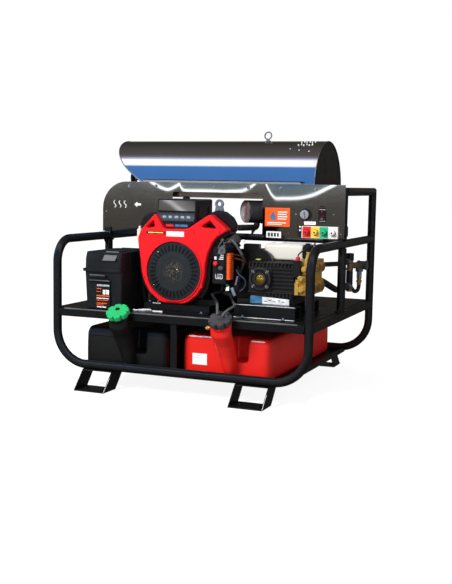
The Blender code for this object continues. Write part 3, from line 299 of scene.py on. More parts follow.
class Shape:
    """Closed solids gathered into one mesh."""

    def __init__(self):
        self.points, self.faces = [], []

    def add(self, points, faces):
        start = len(self.points)
        self.points += [Vector(p) for p in points]
        self.faces += [tuple(start + i for i in face) for face in faces]
        return self

    def join(self, other):
        return self.add(other.points, other.faces)

    def block(self, low, high, grow=0.0):
        """A box. Grow widens or narrows its top."""
        x, y, z = zip(low, high)
        points = []
        for k in (0, 1):
            g = grow * k
            points += [(x[i] + (g if i else -g), y[j] + (g if j else -g), z[k]) for j in (0, 1) for i in (0,
                    1)]
        return self.add(points, [(0, 1, 3, 2), (4, 5, 7, 6), (0, 1, 5, 4), (2, 3, 7, 6), (0, 2, 6, 4),
                                 (1, 3, 7, 5)])

    def turned(self, profile, centre, axis, count=24, phase=0.5):
        """A profile of (radius, height) pairs turned round an axis."""
        axis = Vector(axis).normalized()
        side = axis.orthogonal().normalized()
        other = axis.cross(side)
        points, rings = [], []
        for radius, height in profile:
            middle = Vector(centre) + axis * height
            if radius == 0:
                rings.append([len(points)] * count)
                points.append(middle)
                continue
            rings.append(list(range(len(points), len(points) + count)))
            turn = [TAU * (i + phase) / count for i in range(count)]
            points += [middle + (side * math.cos(a) + other * math.sin(a)) * radius for a in turn]
        pairs = list(zip(rings, rings[1:]))
        if profile[0][0] != 0:
            pairs.append((rings[-1], rings[0]))
        faces = []
        for a, b in pairs:
            for i in range(count):
                j = (i + 1) % count
                corners = [a[i], a[j], b[j], b[i]]
                corners = [c for k, c in enumerate(corners) if c not in corners[:k]]
                if len(corners) > 2:
                    faces.append(tuple(corners))
        return self.add(points, faces)

    def rod(self, start, end, radius, count=20, edge=0.0):
        """A round bar, with its rims rounded off by edge."""
        along = Vector(end) - Vector(start)
        length = along.length
        profile = [(0, 0), (radius, 0), (radius, length), (0, length)]
        if edge:
            profile = [(0, 0), (radius - edge, 0), (radius - edge * 0.3, edge * 0.3), (radius, edge)]
            profile += [(radius, length - edge), (radius - edge * 0.3, length - edge * 0.3),
                        (radius - edge, length), (0, length)]
        return self.turned(profile, start, along, count)

    def pipe(self, path, radius, sides=14, closed=False):
        """A round bar along a path, mitred at its turns. The radius may be a list, one for each point."""
        path = [Vector(p) for p in path]
        count = len(path)
        radii = radius if isinstance(radius, (list, tuple)) else [radius] * count
        ahead = [(path[(i + 1) % count] - path[i]).normalized() for i in range(count)]
        behind = [(path[i] - path[i - 1]).normalized() for i in range(count)]
        if not closed:
            ahead[-1] = behind[-1]
            behind[0] = ahead[0]
        side = ahead[0].orthogonal().normalized()
        points = []
        for i in range(count):
            side = (side - behind[i] * side.dot(behind[i])).normalized()
            other = behind[i].cross(side).normalized()
            mitre = (ahead[i] + behind[i]).normalized()
            for k in range(sides):
                a = TAU * k / sides
                across = (side * math.cos(a) + other * math.sin(a)) * radii[i]
                points.append(path[i] + across - behind[i] * (across.dot(mitre) / behind[i].dot(mitre)))
            side = side - mitre * side.dot(mitre)
        faces = []
        for i in range(count if closed else count - 1):
            a, b = i * sides, (i + 1) % count * sides
            faces += [(a + k, a + (k + 1) % sides, b + (k + 1) % sides, b + k) for k in range(sides)]
        if not closed:
            faces += [tuple(range(sides)), tuple(range((count - 1) * sides, count * sides))]
        return self.add(points, faces)

    def loft(self, rings):
        """Rings of equal count joined one to the next, with both ends closed."""
        sides = len(rings[0])
        faces = [tuple(range(sides)), tuple(range((len(rings) - 1) * sides, len(rings) * sides))]
        for a in range(0, (len(rings) - 1) * sides, sides):
            b = a + sides
            faces += [(a + k, a + (k + 1) % sides, b + (k + 1) % sides, b + k) for k in range(sides)]
        return self.add([p for ring in rings for p in ring], faces)

    def prism(self, loops, axis, low, high):
        """Flat loops, the first the outline and the rest holes, drawn out along an axis with square edges."""
        turn, flip = AXES[axis], -1 if axis == "Y" else 1
        flat = [Vector((u, v, 0)) for loop in loops for u, v in loop]
        caps = tessellate_polygon([[Vector((u, v, 0)) for u, v in loop] for loop in loops])
        if len(loops) == 1:
            caps = [tuple(range(len(flat)))]
        count = len(flat)
        points = [turn @ Vector((p.x, p.y, flip * level)) for level in (low, high) for p in flat]
        faces = [tuple(t) for t in caps] + [tuple(i + count for i in t) for t in caps]
        start = 0
        for loop in loops:
            size = len(loop)
            for i in range(size):
                j = (i + 1) % size
                faces.append((start + i, start + j, start + count + j, start + count + i))
            start += size
        return self.add(points, faces)

    def plate(self, loops, axis, low, high, edge=0.001, steps=2):
        """A prism with its edges rounded over, holes included."""
        curve = bpy.data.curves.new("outline", "CURVE")
        curve.dimensions, curve.fill_mode = "2D", "BOTH"
        curve.extrude = max((high - low) / 2 - edge, 0.0)
        curve.bevel_depth, curve.bevel_resolution, curve.offset = edge, steps, -edge
        for loop in loops:
            spline = curve.splines.new("POLY")
            spline.points.add(len(loop) - 1)
            for point, (u, v) in zip(spline.points, loop):
                point.co = (u, v, 0, 1)
            spline.use_cyclic_u = True
        holder = bpy.data.objects.new("outline", curve)
        flat = bpy.data.meshes.new_from_object(holder)
        work = bmesh.new()
        work.from_mesh(flat)
        bmesh.ops.remove_doubles(work, verts=work.verts, dist=1e-6)
        turn, flip = AXES[axis], -1 if axis == "Y" else 1
        points = [turn @ Vector((v.co.x, v.co.y, v.co.z + flip * (low + high) / 2)) for v in work.verts]
        work.verts.index_update()
        self.add(points, [tuple(v.index for v in face.verts) for face in work.faces])
        work.free()
        bpy.data.objects.remove(holder)
        bpy.data.curves.remove(curve)
        bpy.data.meshes.remove(flat)
        return self

    def bolt(self, centre, axis, size=0.006, washer=True):
        """A hexagon head on its washer, standing on a face."""
        centre, axis = Vector(centre), Vector(axis).normalized()
        if washer:
            ring = [(0, 0), (size * 1.45, 0), (size * 1.45, size * 0.22), (0, size * 0.22)]
            self.turned(ring, centre, axis, 20)
            centre = centre + axis * size * 0.22
        head = [(0, 0), (size, 0), (size, size * 0.62), (size * 0.86, size * 0.8), (0, size * 0.8)]
        return self.turned(head, centre, axis, 6)

    def screw(self, centre, axis, size=0.005):
        """A domed screw or rivet head."""
        dome = [(0, 0), (size, 0), (size * 0.94, size * 0.25), (size * 0.7, size * 0.5),
                (size * 0.35, size * 0.62), (0, size * 0.65)]
        return self.turned(dome, centre, axis, 16)

    def bead(self, centre, axis, radius, thick=0.0035, lumps=26):
        """A weld bead round a tube: a ring of overlapping ripples."""
        axis = Vector(axis).normalized()
        side = axis.orthogonal().normalized()
        other = axis.cross(side)
        steps = lumps * 3
        path, radii = [], []
        for i in range(steps):
            a = TAU * i / steps
            path.append(Vector(centre) + (side * math.cos(a) + other * math.sin(a)) * radius)
            radii.append(thick * (0.82 + 0.18 * abs(math.sin(a * lumps / 2))))
        return self.pipe(path, radii, 6, closed=True)

    def piece(self, name, look, body="skid", stands_for=(), bevel=0.0, segments=2, angle=35, voxel=0.0,
              soften=0):
        """The finished object, riding on its body."""
        mesh = bpy.data.meshes.new(name)
        mesh.from_pydata([tuple(p) for p in self.points], [], self.faces)
        work = bmesh.new()
        work.from_mesh(mesh)
        bmesh.ops.recalc_face_normals(work, faces=work.faces)
        work.to_mesh(mesh)
        work.free()
        obj = bpy.data.objects.new(name, mesh)
        bpy.context.scene.collection.objects.link(obj)
        if voxel:
            modifier = obj.modifiers.new("Join", "REMESH")
            modifier.mode, modifier.voxel_size = "VOXEL", voxel
            modifier = obj.modifiers.new("Remesh", "REMESH")
            modifier.mode, modifier.voxel_size = "VOXEL", voxel
            modifier.use_smooth_shade = True
            if soften:
                modifier = obj.modifiers.new("Soften", "SMOOTH")
                modifier.factor, modifier.iterations = 0.5, soften
        if bevel:
            modifier = obj.modifiers.new("Bevel", "BEVEL")
            modifier.width, modifier.segments = bevel, segments
            modifier.limit_method, modifier.angle_limit = "ANGLE", math.radians(angle)
            modifier.harden_normals = True
            modifier.use_clamp_overlap = True
        if obj.modifiers:
            graph = bpy.context.evaluated_depsgraph_get()
            final = bpy.data.meshes.new_from_object(obj.evaluated_get(graph), depsgraph=graph)
            obj.modifiers.clear()
            obj.data = final
        obj.data.name = name
        obj.data.shade_smooth()
        if not voxel:
            obj.data.set_sharp_from_angle(angle=math.radians(angle))
            modifier = obj.modifiers.new("Normals", "WEIGHTED_NORMAL")
            modifier.keep_sharp = True
        material, slot = look
        obj.data.materials.clear()
        obj.data.materials.append(material)
        obj.location = SKID
        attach(obj, body)
        if stands_for:
            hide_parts(*stands_for)
        return obj


def circle(u, v, radius, count=32, start=0.0, end=360.0):
    """Points round a circle, or along an arc when the ends differ from a full turn."""
    whole = abs(end - start) >= 360
    steps = count if whole else count - 1
    angles = [math.radians(start + (end - start) * i / steps) for i in range(count)]
    return [(u + radius * math.cos(a), v + radius * math.sin(a)) for a in angles]


def rectangle(u0, v0, u1, v1, radius=0.0, steps=5):
    """A rectangle from its low corner to its high one, with rounded corners if a radius is given."""
    corners = [(u0, v0), (u1, v0), (u1, v1), (u0, v1)]
    return fillet(corners, radius, steps) if radius else corners


def fillet(corners, radius, steps=6):
    """Rounds each corner of a loop. The radius may be a list, one for each corner."""
    count = len(corners)
    radii = radius if isinstance(radius, (list, tuple)) else [radius] * count
    loop = []
    for i in range(count):
        before, corner, after = (Vector(corners[(i + k) % count]) for k in (-1, 0, 1))
        into, out = before - corner, after - corner
        if radii[i] <= 0:
            loop.append(tuple(corner))
            continue
        half = into.angle(out) / 2
        reach = min(radii[i] / math.tan(half), into.length * 0.48, out.length * 0.48)
        r = reach * math.tan(half)
        centre = corner + (into.normalized() + out.normalized()).normalized() * r / math.sin(half)
        first, last = corner + into.normalized() * reach - centre, corner + out.normalized() * reach - centre
        turn = first.angle(last)
        for k in range(steps + 1):
            a = turn * k / steps
            loop.append(tuple(centre + (first * math.sin(turn - a) + last * math.sin(a)) / math.sin(turn)))
    return loop


def rounded(corners, radii, steps=14):
    """A path through the corners, each one rounded with its own bend radius."""
    path = [Vector(corners[0])]
    for before, corner, after, radius in zip(corners, corners[1:], corners[2:], radii):
        corner = Vector(corner)
        into, out = (Vector(before) - corner).normalized(), (Vector(after) - corner).normalized()
        if radius == 0:
            path.append(corner)
            continue
        half = into.angle(out) / 2
        centre = corner + (into + out).normalized() * radius / math.sin(half)
        first = corner + into * radius / math.tan(half) - centre
        last = corner + out * radius / math.tan(half) - centre
        turn = first.angle(last)
        for i in range(steps + 1):
            a = turn * i / steps
            path.append(centre + (first * math.sin(turn - a) + last * math.sin(a)) / math.sin(turn))
    path.append(Vector(corners[-1]))
    return path


def flowing(points, steps=8):
    """A smooth curve through the points, for hoses and wires."""
    p = [Vector(q) for q in points]
    p = [p[0] * 2 - p[1]] + p + [p[-1] * 2 - p[-2]]
    path = []
    for i in range(1, len(p) - 2):
        for k in range(steps):
            t = k / steps
            a, b, c, d = p[i - 1], p[i], p[i + 1], p[i + 2]
            path.append(0.5 * (2 * b + (c - a) * t + (2 * a - 5 * b + 4 * c - d) * t * t + (
                        3 * b - a - 3 * c + d) * t ** 3))
    path.append(p[-2])
    return path


def ring_at(centre, axis, rx, ry, count=40):
    """A tilted oval of points round an axis that leans forward."""
    axis = Vector(axis).normalized()
    side, other = RIGHT, axis.cross(RIGHT)
    turn = [TAU * i / count for i in range(count)]
    return [Vector(centre) + side * rx * math.cos(a) + other * ry * math.sin(a) for a in turn]


def box_ring(x0, y0, x1, y1, z, radius, steps=5):
    """A level ring with rounded corners, for a loft."""
    return [Vector((u, v, z)) for u, v in rectangle(x0, y0, x1, y1, radius, steps)]


# ---- Skid frame ----

POST_X, HOOP_Y, BOTTOM_Z, SIDE_Z, REAR_TOP_Z = 0.59, 0.4976, 0.104, 0.6565, 0.888
TUBE_R, MID_Y, MID_R, CROSS_R, RAIL_R = 0.01905, -0.0305, 0.019, 0.0155, 0.016
SHELF_TOP, SHELF_RAIL_Z = 0.3525, 0.333
REAR_BAR_Y, BAY_BAR_Z = 0.441, 0.673
FOOT_SPANS = {"left": (-0.456, -0.306), "right": (0.274, 0.427)}


def skid_frame():
    end_y = HOOP_Y - TUBE_R - GAP
    corners = [(-POST_X, end_y, SIDE_Z), (-POST_X, -HOOP_Y, SIDE_Z), (-POST_X, -HOOP_Y, BOTTOM_Z)]
    corners += [(-x, y, z) for x, y, z in reversed(corners)]
    Shape().pipe(rounded(corners, (0.1, 0.15, 0.15, 0.1)), TUBE_R, 28).piece(
        "front_tube_hoop", BLACK_PAINT, stands_for=["front_hoop"])
    front_y = MID_Y + MID_R + GAP
    corners = [(-POST_X, 0.36, REAR_TOP_Z), (-POST_X, HOOP_Y, REAR_TOP_Z), (-POST_X, HOOP_Y, BOTTOM_Z)]
    corners += [(-x, y, z) for x, y, z in reversed(corners)]
    corners[-1] = (POST_X, front_y, REAR_TOP_Z)
    rear = Shape().pipe(rounded(corners, (0, 0.15, 0.15, 0)), TUBE_R, 28)
    rear.rod((-POST_X, REAR_BAR_Y, REAR_TOP_Z), (POST_X, REAR_BAR_Y, REAR_TOP_Z), CROSS_R, 24)
    rear.piece("rear_tube_hoop", BLACK_PAINT, stands_for=["rear_hoop"])
    posts = Shape()
    for side in (-1, 1):
        x = side * POST_X
        posts.rod((x, MID_Y, SHELF_TOP), (x, MID_Y, SIDE_Z - TUBE_R), MID_R, 24)
        posts.rod((x, MID_Y, SIDE_Z + TUBE_R), (x, MID_Y, 0.81 if side < 0 else REAR_TOP_Z + TUBE_R), MID_R,
                  24, edge=0.002)
    posts.piece("side_posts", BLACK_PAINT, stands_for=["mid_post_left", "mid_post_right", "panel_post_left",
            "panel_post_right"])
    Shape().rod((-POST_X + TUBE_R, MID_Y, BAY_BAR_Z), (POST_X - TUBE_R, MID_Y, BAY_BAR_Z), CROSS_R, 24).piece(
        "engine_bay_crossbar", BLACK_PAINT, stands_for=["panel_crossbar"])
    welds = Shape()
    for side in (-1, 1):
        x = side * POST_X
        welds.bead((x - side * 0.0045, MID_Y, SHELF_TOP + 0.0015), UP, MID_R, 0.003)
        welds.bead((x - side * 0.0045, MID_Y, SIDE_Z - TUBE_R - 0.001), UP, MID_R, 0.003)
        welds.bead((x - side * 0.0045, MID_Y, SIDE_Z + TUBE_R + 0.001), UP, MID_R, 0.003)
        welds.bead((x - side * (TUBE_R + 0.001), MID_Y, BAY_BAR_Z), RIGHT, CROSS_R + 0.0005)
        welds.bead((x - side * 0.0025, HOOP_Y - TUBE_R - 0.001, SIDE_Z), FRONT, TUBE_R + 0.0003, 0.0018)
        welds.bead((x - side * TUBE_R, -HOOP_Y, SHELF_RAIL_Z), RIGHT, RAIL_R + 0.0005)
        welds.bead((x - side * TUBE_R, HOOP_Y, SHELF_RAIL_Z), RIGHT, RAIL_R + 0.0005)
        welds.bead((x - side * TUBE_R, REAR_BAR_Y, REAR_TOP_Z), RIGHT, CROSS_R + 0.0005)
    welds.piece("frame_weld_beads", BLACK_PAINT)
    gussets = Shape()
    for side in (-1, 1):
        x = side * POST_X
        gussets.prism([[(MID_Y - MID_R, SIDE_Z - TUBE_R), (MID_Y - MID_R - 0.03, SIDE_Z - TUBE_R),
                        (MID_Y - MID_R, SIDE_Z - TUBE_R - 0.03)]], "X", x - 0.003, x + 0.003)
        gussets.prism([[(MID_Y - MID_R, SHELF_TOP), (MID_Y - MID_R - 0.03, SHELF_TOP),
                        (MID_Y - MID_R, SHELF_TOP + 0.03)]], "X", x - 0.003, x + 0.003)
        gussets.plate([rectangle(MID_Y - 0.0185, 0.69, MID_Y + 0.0185, 0.735, 0.005)], "X",
                      x + side * 0.0174 - 0.0015, x + side * 0.0174 + 0.0015, 0.001)
    gussets.piece("post_gussets", BLACK_PAINT, bevel=0.0008)


def shelf_and_tray():
    x, y, cut = POST_X - 0.005, HOOP_Y - 0.006, 0.026
    outline = [(-x + cut, -y), (x - cut, -y), (x, -y + cut), (x, y - cut), (x - cut, y), (-x + cut, y),
               (-x, y - cut), (-x, -y + cut)]
    shelf = Shape().plate([fillet(outline, 0.008)], "Z", SHELF_TOP - 0.006, SHELF_TOP, 0.002)
    end = POST_X - TUBE_R
    for level in (-HOOP_Y, HOOP_Y):
        shelf.plate([rectangle(-end, level - RAIL_R, end, level + RAIL_R)], "Z", SHELF_RAIL_Z - RAIL_R,
                    SHELF_TOP, 0.002)
    end = HOOP_Y - TUBE_R
    for level in (-POST_X, POST_X):
        shelf.plate([rectangle(level - RAIL_R, -end, level + RAIL_R, end)], "Z", SHELF_RAIL_Z - RAIL_R,
                    SHELF_TOP, 0.002)
    shelf.piece("shelf_deck", BLACK_SHEET, stands_for=["shelf"])
    # A lip along the shelf's front edge, whose grey is a painted highlight.
    lip = Shape().plate([rectangle(-0.545, 0.3485, 0.545, 0.3545, 0.001)], "Y", -0.515, -0.5085, 0.0016, 3)
    lip.piece("shelf_front_highlight_lip", EDGE_HIGHLIGHT_GREY)
    t, tx, tz = 0.003, 0.478, 0.086
    outline = [(-tx, tz), (tx, tz), (tx, tz + 0.024), (tx - t, tz + 0.024), (tx - t, tz + t),
               (-tx + t, tz + t), (-tx + t, tz + 0.024), (-tx, tz + 0.024)]
    edge = HOOP_Y - TUBE_R - GAP
    tray = Shape().prism([outline], "Y", -edge, edge)
    tray.piece("tank_tray", BLACK_SHEET, stands_for=["bottom_tray"], bevel=0.0008)
    trim = Shape().plate([rectangle(-0.455, 0.1175, 0.455, 0.1265, 0.002)], "Y", -0.5085, -0.5025, 0.0022, 3)
    trim.piece("tray_front_lip", BLACK_PAINT)
    strut = Shape().plate([rectangle(-0.026, -HOOP_Y - 0.006, 0.002, -HOOP_Y + 0.006, 0.002)], "Z",
                          BOTTOM_Z + TUBE_R, SHELF_RAIL_Z - RAIL_R, 0.0008)
    strut.piece("front_strut", BLACK_SHEET, stands_for=["tank_strut"])


def feet():
    top, t = BOTTOM_Z - TUBE_R - GAP, 0.005
    for y_name, side in (("front", -1), ("rear", 1)):
        for x_name, (left, right) in FOOT_SPANS.items():
            rings = []
            for low_y, high_y in ((0.475, 0.4), (0.585, 0.505)):
                low_y, high_y = side * low_y, side * high_y
                rise = (high_y - low_y) / top
                ring = [(left, low_y, 0), (right, low_y, 0), (right, high_y, top), (left, high_y, top)]
                ring += [(left + t, low_y + rise * t, t), (right - t, low_y + rise * t, t)]
                ring += [(right - t, high_y - rise * t, top - t), (left + t, high_y - rise * t, top - t)]
                rings.append(ring)
            faces = []
            for i in range(4):
                j = (i + 1) % 4
                faces += [(i, j, 4 + j, 4 + i), (8 + i, 8 + j, 12 + j, 12 + i), (i, j, 8 + j, 8 + i),
                          (4 + i, 4 + j, 12 + j, 12 + i)]
            Shape().add(rings[0] + rings[1], faces).piece(
                f"splayed_foot_{y_name}_{x_name}", BLACK_SHEET, stands_for=[f"foot_{y_name}_{x_name}"],
                bevel=0.0012, segments=3)
    # Pale rods along the feet's edges: painted highlights.
    edges = Shape()
    for side in (-1, 1):
        for left, right in FOOT_SPANS.values():
            edges.rod((left + t, side * 0.504, top - t), (right - t, side * 0.504, top - t), 0.0014, 8)
            edges.rod((right - 0.001, side * 0.5838, 0.004), (right - 0.001, side * 0.5055, top - 0.004),
                      0.001, 8)
    edges.piece("foot_painted_highlight_edges", WHITE_STEEL)
    bolts = Shape()
    for side in (-1, 1):
        for left, right in FOOT_SPANS.values():
            for x in (left + 0.035, right - 0.035):
                bolts.bolt((x, side * 0.535, t), UP, 0.007)
    bolts.piece("foot_anchor_bolts", BLACK_PAINT)


# ---- Control panel and hood ----

PANEL_FRONT = -0.052


def control_panel():
    arc = circle(-0.482, 0.788, 0.13, 24, 90, 180)
    outline = [(-0.612, 0.677), (-0.25, 0.677), (-0.237, 0.69), (-0.237, 0.862)]
    outline += circle(-0.226, 0.862, 0.011, 5, 180, 90)[1:] + [(0.196, 0.873)]
    outline += circle(0.196, 0.853, 0.02, 6, 90, 0)[1:]
    outline += [(0.216, 0.672), (0.566, 0.672), (0.566, 0.677), (0.602, 0.677), (0.602, 0.918)] + arc
    slot = rectangle(0.484, 0.7535, 0.514, 0.8105)
    sheet = Shape().plate([outline, slot], "Y", PANEL_FRONT, PANEL_FRONT + 0.002, 0.0007)
    sheet.prism([[(-0.47, 0.916), (0.6, 0.916), (0.6, 0.918), (-0.47, 0.918)]], "Y", PANEL_FRONT + 0.002,
                PANEL_FRONT + 0.014)
    sheet.piece("panel_sheet", PANEL, stands_for=["control_panel"])
    bolts, y = Shape(), PANEL_FRONT
    for x in (-0.466, -0.325, -0.176, -0.022, 0.145, 0.3, 0.465):
        bolts.bolt((x, y, 0.8985), FRONT, 0.0058)
    bolts.piece("panel_top_bolts", ZINC)
    screws = Shape()
    for x, z in ((-0.592, 0.772), (0.376, 0.784), (0.552, 0.786), (0.585, 0.7), (-0.59, 0.695)):
        screws.screw((x, y, z), FRONT, 0.0042)
    screws.piece("panel_screws", ZINC)
    dial = Shape().turned([(0, 0), (0.0285, 0), (0.0285, 0.003), (0.026, 0.0045), (0.0225, 0.0045),
                           (0.0225, 0.002), (0, 0.002)], (0.422, y, 0.783), FRONT, 40)
    dial.piece("dial_bezel", BLACK)
    knob = Shape().turned([(0, 0.0028), (0.0195, 0.0028), (0.02, 0.0052), (0.02, 0.012), (0.0185, 0.0145),
                           (0.01, 0.015), (0, 0.015)], (0.419, y, 0.784), FRONT, 48)
    for x, z in circle(0.419, 0.784, 0.0198, 24):
        knob.turned([(0, 0.004), (0.0012, 0.004), (0.0012, 0.0125), (0, 0.0128)], (x, y, z), FRONT, 8)
    knob.piece("thermostat_dial_cap", DIAL, "thermostat_dial", ["thermostat_knob"])
    grip = Shape().plate([rectangle(0.4162, 0.7695, 0.4218, 0.7985, 0.0025)], "Y", y - 0.0215, y - 0.015,
                         0.0014)
    grip.piece("thermostat_dial_grip", DIAL, "thermostat_dial")
    mark = Shape().block((0.4182, y - 0.0222, 0.788), (0.4198, y - 0.0214, 0.7975))
    mark.piece("thermostat_dial_pointer", BLACK, "thermostat_dial")
    rims = [rectangle(0.4815, 0.75, 0.5165, 0.814, 0.003), rectangle(0.4855, 0.7555, 0.5125, 0.8085)]
    bezel = Shape().plate(rims, "Y", y - 0.0025, y - 0.0002, 0.0008)
    bezel.piece("switch_bezel", BLACK)
    profile = [(y - 0.0075, 0.7565), (y - 0.006, 0.769), (y - 0.005, 0.782), (y - 0.006, 0.795),
               (y - 0.0075, 0.8075)]
    profile += [(y + 0.006, 0.8045), (y + 0.0075, 0.782), (y + 0.006, 0.7595)]
    rocker = Shape().prism([profile], "X", 0.4865, 0.5115)
    rocker.piece("burner_rocker_cap", DARK_RED, "burner_rocker", ["burner_switch"], bevel=0.0008)
    tick = Shape().block((0.4985, y - 0.0079, 0.796), (0.4997, y - 0.007, 0.803))
    tick.turned([(0.0028, 0), (0.004, 0), (0.004, 0.0006), (0.0028, 0.0006)], (0.499, y - 0.0066, 0.7665),
                (0, -1, 0.1), 20)
    tick.piece("burner_rocker_marks", DIM_BLOCKS, "burner_rocker")
    tag = Shape().plate([rectangle(0.487, 0.8185, 0.511, 0.8235, 0.001)], "Y", y - 0.0008, y - 0.0001, 0.0003)
    tag.piece("switch_tag", BLACK)
    icon = Shape()
    for k in range(3):
        sway = [0.006 * math.sin(t * TAU / 8) for t in range(9)]
        path = [(-0.545 + k * 0.028 + s, y - 0.0012, 0.792 + t * 0.0042) for t, s in enumerate(sway)]
        icon.pipe(path, 0.0022, 8)
    icon.prism([[(-0.44, 0.8095), (-0.424, 0.8225), (-0.424, 0.8145), (-0.404, 0.8145), (-0.404, 0.8045),
                 (-0.424, 0.8045), (-0.424, 0.7965)]], "Y", y - 0.0008, y - 0.0001)
    icon.piece("hot_side_icon", WHITE)
    plate = Shape().plate([rectangle(0.229, 0.726, 0.348, 0.811, 0.003)], "Y", y - 0.0012, y - 0.0001, 0.0004)
    plate.piece("decal_plate", ORANGE)
    drop = [(0.268, 0.795), (0.259, 0.778)] + circle(0.268, 0.768, 0.0135, 14, 150, 390) + [(0.277, 0.778)]
    Shape().prism([drop], "Y", y - 0.0018, y - 0.0011).piece("decal_drop", BLUE)
    bars = Shape()
    for k in range(4):
        bars.block((0.29, y - 0.0018, 0.79 - k * 0.0105), (0.336 - 0.004 * (k % 2), y - 0.0011,
                0.7945 - k * 0.0105))
    for k in range(2):
        bars.block((0.24, y - 0.0018, 0.742 - k * 0.0075), (0.33 - 0.02 * k, y - 0.0011, 0.7455 - k * 0.0075))
    bars.piece("decal_bars", WHITE)
    Shape().plate([rectangle(0.237, 0.6745, 0.308, 0.7035, 0.002)], "Y", y - 0.0014, y - 0.0001,
                  0.0004).piece("rating_plate", WHITE)
    marks = Shape()
    for k in range(4):
        marks.block((0.2455 + k * 0.0145, y - 0.0019, 0.6805), (0.2545 + k * 0.0145, y - 0.0013, 0.6975))
    marks.piece("rating_plate_blocks", BLACK)
    Shape().plate([rectangle(0.416, 0.7385, 0.47, 0.7535, 0.001)], "Y", y - 0.001, y - 0.0001, 0.0003).piece(
        "nozzle_tag", WHITE)
    Shape().block((0.422, y - 0.0016, 0.7435), (0.463, y - 0.0009, 0.7485)).piece("nozzle_tag_bar", PALE)
    lamps = Shape()
    for z in (0.728, 0.713):
        lamps.turned([(0, 0), (0.0045, 0), (0.0045, 0.003), (0.0025, 0.005), (0, 0.0055)], (0.398, y, z),
                     FRONT, 16)
    lamps.piece("warning_lamps", WHITE)
    clamp = Shape().plate([rectangle(-0.596, 0.652, -0.565, 0.698, 0.003)], "Y", y - 0.01, y + 0.001, 0.002)
    clamp.piece("panel_clamp", BLACK)
    Shape().plate([rectangle(-0.5945, 0.6735, -0.5665, 0.6765, 0.001)], "Y", y - 0.0108, y - 0.0098,
                  0.0004).piece("panel_clamp_line", ZINC)
    Shape().plate([rectangle(0.386, 0.683, 0.406, 0.733, 0.002)], "Y", y - 0.0022, y - 0.0001, 0.0006).piece(
        "lamp_strip", BLACK)


def nozzle_rack():
    y = PANEL_FRONT
    back = [rectangle(0.409, 0.68, 0.575, 0.733, 0.002)]
    rack = Shape().plate(back + [circle(x, 0.706, 0.0095, 24) for x in (0.432, 0.472, 0.512, 0.552)], "Y",
                         y - 0.0118, y - GAP, 0.0006)
    rack.piece("nozzle_rack", WHITE, stands_for=["nozzle_holder"])
    looks = (("red", 0.432, RED_SMALL), ("yellow", 0.472, YELLOW), ("green", 0.512, TEAL),
             ("white", 0.552, WHITE))
    for colour, x, look in looks:
        if colour != "white":
            tile = [rectangle(x - 0.0198, 0.6815, x + 0.0198, 0.7315, 0.001), circle(x, 0.706, 0.01, 24)]
            Shape().plate(tile, "Y", y - 0.0126, y - 0.0117, 0.0003).piece(f"rack_tile_{colour}", look)
        tip = Shape().turned([(0, 0), (0.0085, 0), (0.0085, 0.0126), (0.0125, 0.013), (0.013, 0.014),
                              (0.013, 0.0195), (0.012, 0.0208), (0.0095, 0.0212), (0.0095, 0.0288),
                              (0.0085, 0.0298), (0.0045, 0.03), (0.0045, 0.027), (0, 0.0268)],
                          (x, y - GAP, 0.706), FRONT, 32)
        tip.piece(f"spray_tip_{colour}", look, f"spray_nozzle_{colour}", [f"nozzle_{colour}"])
        collar = Shape().turned([(0.0133, 0.0142), (0.0142, 0.015), (0.0142, 0.0182), (0.0133, 0.0192),
                                 (0.0128, 0.0192), (0.0128, 0.0142)], (x, y - GAP, 0.706), FRONT, 32)
        collar.piece(f"spray_tip_{colour}_ring", BLACK, f"spray_nozzle_{colour}")
        hole = Shape().turned([(0, 0.0268), (0.0043, 0.0268), (0.0043, 0.0276), (0, 0.0276)],
                              (x, y - GAP, 0.706), FRONT, 20)
        hole.piece(f"spray_tip_{colour}_orifice", BLACK, f"spray_nozzle_{colour}")


HOOD_R, HOOD_Y, HOOD_Z = 0.22, 0.2, 0.9
HOOD_RIGHT, HOOD_LEFT_TOP = 0.449, -0.603


def hood_left(z):
    drop = HOOD_Z + HOOD_R - z
    return HOOD_LEFT_TOP + 0.184 * drop + 3.55 * drop * drop


